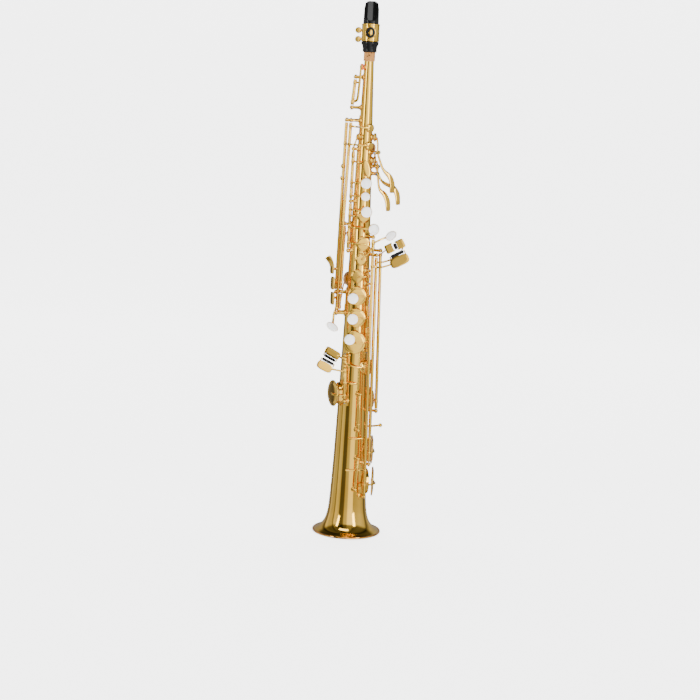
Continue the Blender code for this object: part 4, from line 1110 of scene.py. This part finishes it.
class Key:
    """A key on a hinge line.  It is drawn with its pad closed and then swung to its rest."""

    def __init__(self, name, line, span, rest=0.0):
        self.name = name
        self.body = "key_" + name + "_body"
        self.line = line
        self.low = on_line(line, span[0])
        self.high = on_line(line, span[1])
        self.rest = rest
        self.metal = []
        if span[1] > span[0]:
            self.metal.append(rod(self.low, self.high, KEY_TUBE_RADIUS, 28, KEY_TUBE_BORE))
        self.pads = []
        self.discs = []

    def arm(self, height, points, widths=(ARM_WIDTH,), thickness=ARM_THICKNESS, face=None):
        """Arm that leaves the hinge tube at a height, from a collar, and runs through points."""
        centre = on_line(self.line, height)
        points = [Vector(point) for point in points]
        root = centre + (points[0] - centre).normalized() * (KEY_TUBE_RADIUS - 0.4)
        middle = (centre + points[-1]) / 2.0
        look = face or flattened(middle)
        self.metal.append(bar([root] + points, look, widths, thickness))
        heading = (self.high - self.low).normalized()
        half = min(1.9, (centre - self.low).length - 0.1, (self.high - centre).length - 0.1)
        self.metal.append(rod(centre - heading * half, centre + heading * half, COLLAR_RADIUS,
                              28, KEY_TUBE_BORE, 0.35))
        return self

    def cup(self, hole):
        """Cup over a tone hole, with its pad and resonator."""
        self.metal.append(cup_shell(hole))
        self.pads.append(cup_pad(hole))
        if HOLES[hole][2] > 3.5:
            self.discs.append(resonator(hole))
        return self

    def add(self, *shapes):
        """Adds any other metal shapes."""
        self.metal += shapes
        return self

    def swing(self):
        """Matrix that turns a point about the hinge line from closed to rest."""
        heading = (self.high - self.low).normalized()
        return (Matrix.Translation(self.low)
                @ Matrix.Rotation(math.radians(self.rest), 4, heading)
                @ Matrix.Translation(-self.low))

    def part(self, suffix, shapes, look, replaced=()):
        """Piece that rides with this key."""
        return piece(self.name + "_" + suffix, shapes, look, self.body, replaced,
                     self.swing() if self.rest else None)

    def pearl(self, node, centre, normal, length=2 * PEARL_RADIUS, width=None, along=None):
        """Finger pearl in its turned metal cup."""
        normal = Vector(normal).normalized()
        half = length / 2.0
        place = frame_at(centre, normal, along)
        if width:
            place = place @ Matrix.Diagonal((1.0, width / length, 1.0, 1.0))
        seat = [(0.0, -1.5), (0.62 * half, -1.5), (0.9 * half, -0.9), (half, 0.3), (half, 1.0),
                (half - 0.25, 1.45), (half - 0.62, 1.3), (half - 0.66, 0.35), (0.0, 0.3)]
        self.metal.append(lathe(softened(seat, 0.25, 3), 64, place))
        edge = half - 0.66
        dome = [(0.0, 0.3), (edge, 0.35), (edge, 1.35), (edge - 0.5, 1.62), (0.7 * edge, 1.95),
                (0.35 * edge, 2.15), (0.0, 2.2)]
        self.part("pearl", [lathe(softened(dome, 0.3, 3), 64, place)], PEARL,
                  (node,))
        return self

    def build(self):
        """Makes the key's pieces."""
        self.part("key", self.metal, LACQUER, ("key_" + self.name,))
        if self.pads:
            self.part("pad", self.pads, LEATHER)
        if self.discs:
            self.part("resonator", self.discs, RIM_BRASS)


def lh_stack_keys():
    """Left hand's keys on the front stack rod: B, bis, A, G, the small C cup and the front F."""
    rest = -8.0
    key = Key("small_c", "lh_stack", (499.2, 507.9), rest)
    key.arm(503.0, [(-14.4, -14.6, 503.6), (-13.4, -15.0, 514.0), crown("small_c", 0.9, 0.45)])
    key.cup("small_c").build()

    key = Key("front_f", "lh_stack", (490.8, 498.9))
    touch = Vector((3.4, -20.6, 487.0))
    key.arm(495.0, [(-9.0, -18.5, 495.0), (2.0, -20.4, 492.0)])
    key.add(plate(touch, (0.1, -1.0, 0.1), (0.24, 0.0, -1.0), 23.0, 8.6, 1.6, 2.0, bulge=0.2))
    key.build()

    key = Key("b", "lh_stack", (460.3, 490.5), rest)
    key.arm(468.0, [(-9.5, -19.0, 468.0), crown("b", -1.0, 0.6)]).cup("b")
    key.pearl("pearl_b", crown("b", 0.0, HOLDER_THICKNESS + 1.0), rim_of(12), 14.6).build()

    key = Key("bis", "lh_stack", (446.7, 460.0), rest)
    key.arm(451.0, [(-9.5, -19.0, 451.0), crown("bis", -1.0, 0.5)]).cup("bis")
    key.pearl("pearl_bis", crown("bis", 0.0, HOLDER_THICKNESS + 0.4), rim_of(12), 12.4).build()

    key = Key("a", "lh_stack", (414.1, 440.3), rest)
    seat = crown("a", 2.6, HOLDER_THICKNESS + 1.6) + upward(6.6)
    key.arm(425.0, [(-9.5, -19.4, 425.0), crown("a", -1.0, 0.6)])
    key.arm(433.0, [(-9.5, -21.0, 433.0), seat + Vector((-2.0, 1.2, 0.0))]).cup("a")
    key.pearl("pearl_a", seat, rim_of(14)).build()

    key = Key("g", "lh_stack", (382.1, 413.8), rest)
    seat = Vector((18.4, -20.4, 409.5))
    key.arm(389.5, [(-9.5, -20.5, 389.5), crown("g", -2.0, 0.6), crown("g", 3.0, 0.6)]).cup("g")
    key.arm(410.5, [(-9.5, -21.6, 410.5), (2.0, -23.0, 410.0), seat + Vector((-1.0, 0.9, 0.0))])
    key.pearl("pearl_g", seat, rim_of(28)).build()


def rh_stack_keys():
    """Right hand's keys on the front stack rod: F, E, D and the F sharp cup that follows."""
    rest = 8.5
    key = Key("f_sharp_cup", "rh_stack", (340.1, 350.9), rest)
    key.arm(346.8, [(9.5, -21.0, 346.8), crown("f_sharp", 0.0, 0.6)]).cup("f_sharp").build()
    rows = (("f", 308.2, 333.9, 321.0, -5.6, -2.8), ("e", 279.2, 307.9, 292.3, -5.2, -1.2),
            ("d", 252.1, 278.9, 260.0, -6.6, 4.2))
    for hole, low, high, height, across, up in rows:
        key = Key(hole, "rh_stack", (low, high), rest)
        level = crown(hole, 0.0, 0.6)
        key.arm(height, [(11.0, level.y - 1.4, height), crown(hole, 5.0, 0.6), level])
        seat = crown(hole, across, HOLDER_THICKNESS - 0.3) + upward(up)
        key.cup(hole).pearl("pearl_" + hole, seat, rim_of(HOLES[hole][0])).build()


SIDE_FACE = Vector((-0.9, -0.42, 0.0)).normalized()


def side_touch(key, centre, route, length):
    """Paddle for the side of the right hand, on an arm that passes between the long tubes."""
    centre = Vector(centre)
    key.add(plate(centre, SIDE_FACE, (0.0, 0.0, 1.0), length, 11.0, 2.0, 4.0, bulge=0.2))
    key.arm(centre.z, route + [centre], (2.0,), face=upward(1.0), thickness=3.4)


def side_keys():
    """Right hand's side keys, whose long tubes run up the player's right side."""
    key = Key("side_e", "side_e", (325.8, 544.4))
    key.arm(517.0, [(-24.4, -12.0, 517.0), (-13.0, -19.6, 517.0), (0.0, -18.6, 516.4),
                    crown("high_e", -1.0, 0.5)]).cup("high_e")
    for height in (487.7, 472.2):
        key.add(ball(on_line("side_e", height) + Vector((-0.8, 0.0, 0.0)), 3.2, 32, 16))
    side_touch(key, (-35.2, 6.0, 352.5), [(-32.0, 4.0, 352.5)], 14.0)
    key.add(bar([(-35.2, 6.0, 355.0), (-37.2, 6.0, 361.5), (-42.0, 6.0, 368.0)],
                (-0.85, -0.5, 0.5), (9.4,), 2.0, 5.0, 32)).build()

    key = Key("side_c", "side_low", (326.6, 409.9))
    key.arm(400.0, [(-20.5, 8.6, 400.0), crown("side_c", 0.8, 0.5)]).cup("side_c")
    side_touch(key, (-33.4, -8.2, 335.0), [(-27.0, -0.8, 335.0), (-31.4, -3.0, 335.0)], 17.0)
    key.build()

    key = Key("side_bb", "side_low", (300.1, 320.4))
    key.arm(303.0, [(-22.6, 7.8, 305.0), (-19.6, 11.6, 330.0), crown("side_bb", 0.6, 0.5)])
    side_touch(key, (-32.8, -8.2, 315.0), [(-28.4, 0.4, 315.0), (-31.8, -3.4, 315.0)], 17.0)
    key.cup("side_bb").build()

    key = Key("high_f_sharp", "high_f_sharp", (298.6, 544.4))
    key.arm(540.0, [(-17.0, -13.6, 540.0), (-7.0, -17.0, 539.6), crown("high_f_sharp", -1.0, 0.5)])
    seat = Vector((-31.0, -13.0, 278.0))
    normal = Vector((-0.3, -1.0, 0.0))
    key.arm(301.6, [(-30.0, -10.0, 296.0), seat + Vector((0.4, 1.8, 1.0))], (3.0,),
            face=Vector((-0.3, -1.0, 0.0)))
    key.cup("high_f_sharp")
    key.pearl("pearl_high_f_sharp", seat, normal, 17.0, 10.2, (-1.0, 0.3, 0.55)).build()


def palm_keys():
    """Left palm's D, E flat and F levers, each on a short crosswise hinge."""
    for hole, (pivot, route) in PALMS.items():
        low, high = PALM_PIVOTS[hole]
        across = (high - low).normalized()
        pivot = Vector(pivot)
        outward = flattened(pivot).normalized()
        key = Key(hole, "lh_stack", (0.0, 0.0)).cup(hole)
        top = crown(hole, 0.0, 0.5)
        key.add(rod(pivot - across * PALM_HALF, pivot + across * PALM_HALF, KEY_TUBE_RADIUS, 28,
                    KEY_TUBE_BORE),
                bar([top, top.lerp(pivot, 0.5) + outward * 1.6, pivot + outward * 0.6, *route],
                    PALM_FACE, (2.4, 2.2, 2.2, 3.6, 7.0, 8.0, 6.6), 2.2, 2.6, 28))
        key.build()


TABLE_CENTRE = Vector((46.6, -16.0, 388.5))
TABLE_TILT = 29.0
TABLE_NORMAL = Vector((0.12, -1.0, 0.10)).normalized()
PINKY_CENTRE = Vector((-33.2, -19.0, 236.2))
PINKY_TILT = -27.0
PINKY_NORMAL = Vector((-0.12, -1.0, 0.10)).normalized()


class TouchGroup:
    """A cluster of plates that lie in one tilted plane."""

    def __init__(self, centre, tilt, normal):
        turn = math.radians(tilt)
        along = Vector((math.cos(turn), 0.0, math.sin(turn)))
        self.centre = centre
        self.normal = normal
        self.along = (along - normal * along.dot(normal)).normalized()
        self.up = normal.cross(self.along)

    def point(self, along, up, behind=0.0):
        """Point of the plane, or behind it."""
        return self.centre + self.along * along + self.up * up - self.normal * behind

    def touch(self, along, up, length, width, squareness=6.0):
        """Touch plate with eased edges."""
        return plate(self.point(along, up, 1.0), self.normal, self.along, length, width, 2.0,
                     squareness, 72)

    def notched(self, along, up, length, width, notch_at, notch_half, notch_reach):
        """Touch plate whose inner side is cut away for a roller."""
        cutter = bar([self.point(notch_at, -notch_reach - 0.6, 0.8),
                      self.point(notch_at, notch_reach + 0.6, 0.8)], self.normal,
                     (2.0 * notch_half,), 8.0, 12.0)
        return subtract(self.touch(along, up, length, width), [cutter])

    def ear(self, along, start, end, behind):
        """Ear that carries one end of a roller."""
        return bar([self.point(along, start, behind), self.point(along, end, behind)],
                   self.normal, (1.4,), 1.5, 3.2)


# Keys that carry a roller: hinge line, span of the key's tube along it and turn at rest.
CARRIERS = {
    "low_b": ("low_b", (100.1, 371.9), -11.5),
    "low_bb": ("low_bb", (57.1, 373.9), -11.0),
    "low_c": ("pinky", (184.1, 224.4), 14.0),
    "low_eb": ("pinky", (230.6, 238.4), 0.0),
}

TABLE = TouchGroup(TABLE_CENTRE, TABLE_TILT, TABLE_NORMAL)
PINKY = TouchGroup(PINKY_CENTRE, PINKY_TILT, PINKY_NORMAL)


def low_keys():
    """Left little finger's keys: G sharp, low C sharp, B and B flat, on the player's left."""
    key = Key("g_sharp", "g_sharp", (380.2, 395.9))
    key.arm(384.0, [(12.0, -21.0, 378.0), crown("g_sharp", 0.0, 0.5)]).cup("g_sharp")
    seat = Vector((39.4, -14.6, 401.4))
    key.arm(391.0, [(26.0, -17.6, 396.0), seat + Vector((-4.0, 1.4, -1.6))],
            face=Vector((0.0, -1.0, 0.0)))
    key.pearl("pearl_g_sharp", seat, (0.25, -1.0, 0.2), 16.0, 11.0, (1.0, 0.0, 0.75)).build()

    notch = (0.0, TABLE_ROLLER_RADIUS + GAP, 4.3)
    key = Key("low_c_sharp", "low_c_sharp", (170.6, 377.3), -11.0)
    key.arm(180.0, [(29.6, 2.0, 180.0), crown("low_c_sharp", -6.0, 0.5), crown("low_c_sharp")])
    key.arm(375.0, [(33.0, -13.4, 381.0), TABLE.point(-9.5, 0.0, 1.2)])
    key.add(TABLE.notched(-6.6, 0.1, 12.2, 12.2, *notch)).cup("low_c_sharp").build()

    key = Key("low_b", *CARRIERS["low_b"])
    key.arm(112.0, [(30.6, -7.0, 112.0), crown("low_b", -8.0, 0.5), crown("low_b")])
    key.arm(131.3, [(16.0, -21.4, 131.3), (8.0, -26.2, 131.3), (-1.0, -28.4, 131.3)])
    key.arm(366.0, [(29.0, -13.6, 366.0), (40.0, -9.0, 369.5), (49.0, -1.6, 376.0),
                    (55.0, -3.6, 386.0), TABLE.point(8.4, 0.0, 2.0)])
    key.add(TABLE.notched(6.6, 0.1, 12.2, 12.2, *notch)).cup("low_b").build()

    key = Key("low_bb", *CARRIERS["low_bb"])
    key.arm(69.0, [(29.8, -13.0, 69.0), (33.0, -6.0, 69.0), crown("low_bb", -6.0, 0.5),
                   crown("low_bb")])
    key.arm(88.8, [(15.0, -22.0, 88.8), (7.4, -24.9, 88.8), (-3.8, -30.2, 88.8)])
    key.arm(361.0, [(28.0, -22.0, 360.0), TABLE.point(-9.0, -19.5, 2.2)])
    for along in (-13.1, 7.1):
        key.add(TABLE.ear(along, -16.0, -8.7, 1.4))
    key.add(TABLE.touch(-3.9, -18.8, 26.1, 13.6, 3.4)).cup("low_bb").build()


def pinky_keys():
    """Right little finger's E flat and C keys, one above the other on one hinge line."""
    key = Key("low_eb", *CARRIERS["low_eb"])
    key.arm(232.6, [(-2.0, -24.0, 228.0), (10.0, -20.6, 226.4), (14.6, -17.9, 226.4),
                    crown("low_eb", -5.0, 0.4), crown("low_eb", 0.7, 0.3)])
    key.arm(236.6, [(-18.0, -21.0, 239.0), PINKY.point(5.0, 8.6, 1.4)])
    key.add(PINKY.touch(0.0, 8.6, 21.6, 10.4, 5.0))
    for along in (-9.3, 9.3):
        key.add(PINKY.ear(along, 5.0, 0.4, 1.2))
    key.cup("low_eb").build()

    key = Key("low_c", *CARRIERS["low_c"])
    key.arm(188.4, [(-19.4, -21.4, 188.4), (-25.8, -12.0, 188.4), crown("low_c", 6.0, 0.5),
                    crown("low_c")])
    key.arm(205.3, [(-4.0, -25.6, 205.3), (4.8, -25.4, 205.3)])
    key.arm(221.0, [(-17.0, -20.0, 221.0), PINKY.point(5.0, -11.0, 1.4)])
    key.add(PINKY.touch(-0.6, -11.3, 21.5, 11.6, 3.2))
    for along in (-9.3, 9.3):
        key.add(PINKY.ear(along, -7.0, -2.4, 1.2))
    key.cup("low_c").build()


def make_rollers():
    """Black rollers between neighbouring touches, each on its own steel pin."""
    places = (
        ("roller_table_long", "low_bb", TABLE_ROLLER_RADIUS, TABLE.point(-11.8, -9.5, 1.4),
         TABLE.point(5.8, -9.5, 1.4)),
        ("roller_table_short", "low_b", TABLE_ROLLER_RADIUS, TABLE.point(0.0, -3.9, 1.4),
         TABLE.point(0.0, 3.9, 1.4)),
        ("roller_pinky_upper", "low_eb", PINKY_ROLLER_RADIUS, PINKY.point(-8.2, 1.1, 1.2),
         PINKY.point(8.2, 1.1, 1.2)),
        ("roller_pinky_lower", "low_c", PINKY_ROLLER_RADIUS, PINKY.point(-8.2, -3.3, 1.2),
         PINKY.point(8.2, -3.3, 1.2)),
    )
    for name, parent, radius, low, high in places:
        turn = Key(parent, *CARRIERS[parent]).swing()
        length = (high - low).length
        profile = [(0.0, 0.0), (radius - 0.5, 0.0), (radius, 0.6),
                   (radius, length - 0.6), (radius - 0.5, length), (0.0, length)]
        barrel = lathe(softened(profile, 0.5, 4), 40, frame_at(low, high - low))
        piece(name + "_barrel", [barrel], RESIN, name + "_body", (name,), turn)
        beyond = (high - low).normalized() * 1.3
        pin = rod(low - beyond, high + beyond, 0.45, 16)
        piece(name + "_pin", [pin], STEEL, "key_" + parent + "_body", (), turn)


def octave_keys():
    """Octave mechanism: the thumb's lever, the vent cup on the body and the one on the neck."""
    middle = (THUMB_PIVOT[0] + THUMB_PIVOT[1]) / 2.0
    half = Vector((PALM_HALF, 0.0, 0.0))
    key = Key("octave_thumb", "lh_stack", (0.0, 0.0))
    key.add(rod(middle - half, middle + half, KEY_TUBE_RADIUS, 28, KEY_TUBE_BORE),
            bar([middle + Vector((0.0, 0.4, 18.0)), middle + Vector((0.0, 1.6, 6.0)),
                 middle + Vector((0.0, 1.6, -6.0)), middle + Vector((0.0, 3.0, -12.0))],
                (0.0, 1.0, 0.0), (3.0,), 1.8),
            plate(middle + Vector((0.0, 3.4, -16.0)), (0.0, 1.0, 0.1), (0.0, 0.0, 1.0),
                  15.0, 10.0, 1.8, 2.4, bulge=0.2))
    key.build()

    key = Key("octave_body", "octave_body", (487.1, 504.9))
    key.arm(500.0, [(-3.0, 17.6, 500.0), crown("octave_body", 0.0, 0.5)]).cup("octave_body")
    key.build()

    key = Key("octave_neck", "octave_neck", (567.1, 599.9))
    vent_seat = wall_radius(VENT_HEIGHT) + VENT_RISE + GAP
    place = frame_at(spot(VENT_ANGLE, vent_seat, VENT_HEIGHT), rim_of(VENT_ANGLE))
    shell = softened([(0.0, 3.4), (2.3, 3.2), (3.0, 2.7), (3.1, 2.3), (2.6, 2.3), (0.0, 2.35)],
                     0.4, 3)
    key.arm(596.0, [(-14.0, -2.0, 596.0), (-10.6, -4.8, 596.0)])
    key.arm(571.0, [(-12.6, -2.4, 573.0), (-11.2, -4.8, 592.0), (-10.2, -5.8, 608.0),
                    spot(VENT_ANGLE, vent_seat + 2.8, VENT_HEIGHT)], (3.4, 3.4, 3.4, 3.2, 2.6),
            face=Vector((0.0, -1.0, 0.0)))
    key.add(lathe(shell, 40, place))
    plug = softened([(0.0, 2.4), (4.1, 2.35), (4.2, 0.4), (3.8, 0.0), (0.0, 0.0)], 0.35, 3)
    key.part("cork", [lathe(plug, 40, place)], RED_CORK)
    key.build()


# Springs.

NEEDLES = (("lh_stack", 443.5, -1.0, 20.0), ("lh_stack", 443.5, 1.0, 20.0),
           ("lh_stack", 379.0, 1.0, 24.0), ("lh_stack", 511.0, -1.0, 16.0),
           ("rh_stack", 337.0, -1.0, 22.0), ("rh_stack", 249.0, 1.0, 22.0),
           ("side_e", 322.7, 1.0, 26.0), ("side_low", 413.0, -1.0, 26.0),
           ("high_f_sharp", 295.5, 1.0, 26.0), ("pinky", 181.0, 1.0, 18.0),
           ("low_bb", 54.0, 1.0, 30.0), ("low_b", 97.0, 1.0, 30.0),
           ("low_c_sharp", 167.5, 1.0, 30.0), ("octave_neck", 564.0, 1.0, 20.0))
NEEDLE_RADIUS = 0.22
NEEDLE_OFFSET = 3.0


def make_springs():
    """Blued needle springs that leave the posts beside the hinge tubes."""
    needles = []
    for line, height, way, length in NEEDLES:
        start = on_line(line, height)
        ahead = (on_line(line, height + 1.0) - start).normalized() * way
        inward = Vector((-start.x, -start.y, 0.0)).normalized()
        root = start + inward * 1.4
        tip = start + inward * NEEDLE_OFFSET + ahead * length
        needles.append(bar([root, root.lerp(tip, 0.5) + inward * 0.5, tip], inward,
                           (2.0 * NEEDLE_RADIUS, 2.0 * NEEDLE_RADIUS, 1.2 * NEEDLE_RADIUS),
                           2.0 * NEEDLE_RADIUS, 2.0, 10))
    piece("needle_springs", needles, STEEL, FIXED)


# Studio.

CAMERA_DISTANCE = 2340.0
CAMERA_HEIGHT = 640.0
CAMERA_DOWN = 9.55
CAMERA_ROLL = 2.83
CAMERA_ASIDE = 0.156
CAMERA_LENS = 92.31
SENSOR = 36.0


def make_camera():
    """Long lens, level with the keys and looking slightly down, rolled a little."""
    data = bpy.data.cameras.new("studio_camera")
    data.sensor_width = SENSOR
    data.lens = CAMERA_LENS
    data.clip_end = 50.0
    made = bpy.data.objects.new("studio_camera", data)
    bpy.context.scene.collection.objects.link(made)
    down = math.radians(CAMERA_DOWN)
    forward = Vector((0.0, math.cos(down), -math.sin(down)))
    right = Vector((1.0, 0.0, 0.0))
    up = right.cross(forward)
    roll = math.radians(CAMERA_ROLL)
    first = right * math.cos(roll) + up * math.sin(roll)
    second = up * math.cos(roll) - right * math.sin(roll)
    forward = (forward - first * math.tan(math.radians(CAMERA_ASIDE))).normalized()
    first = forward.cross(second).normalized()
    turn = Matrix((first, second, -forward)).transposed().to_4x4()
    place = AXIS + Vector((0.0, -CAMERA_DISTANCE, CAMERA_HEIGHT)) * METRES
    made.matrix_world = Matrix.Translation(place) @ turn
    bpy.context.scene.camera = made


def softbox(name, place, target, size, power):
    """Rectangular studio light aimed at a point."""
    data = bpy.data.lights.new(name, "AREA")
    data.shape = "RECTANGLE"
    data.size, data.size_y = size
    data.energy = power
    made = bpy.data.objects.new(name, data)
    bpy.context.scene.collection.objects.link(made)
    place, target = Vector(place), Vector(target)
    made.matrix_world = frame_at(place, place - target, (1.0, 0.0, 0.0))
    return made


# Brightness of the studio seen by the metal, round the horizon from the player's right (0) by the
# camera's side (0.25), the player's left (0.5) and the back (0.75).
SURROUND = [(0.000, 0.75), (0.030, 0.14), (0.050, 0.95), (0.105, 0.70), (0.125, 0.10),
            (0.190, 0.13), (0.205, 0.62), (0.250, 0.75), (0.262, 1.70), (0.335, 1.90),
            (0.350, 0.55), (0.470, 0.80), (0.540, 0.60), (0.580, 0.08), (0.640, 0.50),
            (0.750, 0.22), (0.850, 0.40), (0.890, 0.06), (0.920, 0.90), (0.960, 0.60)]
# Share of that brightness by height: floor, horizon and the dim ceiling.
CEILING = [(0.00, 0.75), (0.44, 0.85), (0.50, 1.00), (0.74, 1.00), (0.82, 0.16), (1.00, 0.10)]


def make_sweep():
    """Seamless bright paper that curves from the floor up behind the instrument."""
    rows = [(-6.0, 0.0), (1.6, 0.0)]
    for step in range(1, 13):
        turn = math.pi / 2.0 * step / 12
        rows.append((1.6 + 1.2 * math.sin(turn), 1.2 * (1.0 - math.cos(turn))))
    rows.append((2.8, 6.0))
    data = bpy.data.meshes.new("studio_sweep")
    points = [(side, depth, height - 0.0004) for depth, height in rows for side in (-7.0, 7.0)]
    faces = [(2 * row, 2 * row + 1, 2 * row + 3, 2 * row + 2) for row in range(len(rows) - 1)]
    data.from_pydata(points, [], faces)
    data.shade_smooth()
    paper = Look("studio_paper", Specular_IOR_Level=0.2, Emission_Color=(1.0, 1.0, 1.0, 1.0),
                 Emission_Strength=3.2)
    paper.colour(paper.ramp(paper.noise(3.0, 3.0), [(0.3, 0.90), (0.7, 0.93)]))
    paper.roughness(paper.ramp(paper.noise(8.0, 3.0), [(0.3, 0.8), (0.7, 0.95)]))
    data.materials.append(paper.material)
    sweep = bpy.data.objects.new("studio_sweep", data)
    sweep.visible_glossy = False
    bpy.context.scene.collection.objects.link(sweep)


def make_surround():
    """Studio walls that the metal mirrors: dark gaps between pale panels."""
    world = bpy.data.worlds.new("studio_surround")
    bpy.context.scene.world = world
    world.use_nodes = True
    nodes = world.node_tree.nodes
    links = world.node_tree.links
    way = nodes.new("ShaderNodeTexCoord")
    circle = nodes.new("ShaderNodeTexGradient")
    circle.gradient_type = "RADIAL"
    links.new(way.outputs["Generated"], circle.inputs["Vector"])
    split = nodes.new("ShaderNodeSeparateXYZ")
    links.new(way.outputs["Generated"], split.inputs["Vector"])
    lift = nodes.new("ShaderNodeMapRange")
    lift.inputs["From Min"].default_value = -1.0
    links.new(split.outputs["Z"], lift.inputs["Value"])
    brightest = max(level for place, level in SURROUND)
    shades = []
    for source, stops, most in ((circle.outputs["Fac"], SURROUND, brightest),
                                (lift.outputs["Result"], CEILING, 1.0)):
        ramp = nodes.new("ShaderNodeValToRGB")
        elements = ramp.color_ramp.elements
        while len(elements) < len(stops):
            elements.new(0.5)
        for element, (place, level) in zip(elements, stops):
            element.position = place
            element.color = (level / most, level / most, level / most, 1.0)
        links.new(source, ramp.inputs["Fac"])
        shades.append(ramp.outputs["Color"])
    shade = nodes.new("ShaderNodeMix")
    shade.data_type = "RGBA"
    shade.blend_type = "MULTIPLY"
    shade.inputs[0].default_value = 1.0
    links.new(shades[0], shade.inputs[6])
    links.new(shades[1], shade.inputs[7])
    links.new(shade.outputs[2], nodes["Background"].inputs["Color"])
    nodes["Background"].inputs["Strength"].default_value = 1.12 * brightest


def make_studio():
    """Bright paper sweep, a soft box on each side and above, and a panelled surround."""
    make_sweep()
    make_surround()
    middle = (0.0, 0.0, 0.35)
    softbox("softbox_left", (-1.5, -1.3, 0.9), middle, (0.35, 1.5), 13.0)
    softbox("softbox_right", (1.3, -1.5, 0.8), middle, (0.45, 1.6), 16.0)
    softbox("softbox_top", (-0.3, -0.9, 2.0), middle, (1.2, 0.5), 9.0)


place_palm_pivots()
make_tube()
make_rim()
make_posts()
make_cork()
make_mouthpiece()
make_reed()
make_ligature()
make_ligature_screws()
make_thumb_pieces()
make_fixed_rods()
lh_stack_keys()
rh_stack_keys()
side_keys()
palm_keys()
low_keys()
pinky_keys()
make_rollers()
octave_keys()
make_springs()
make_studio()
make_camera()
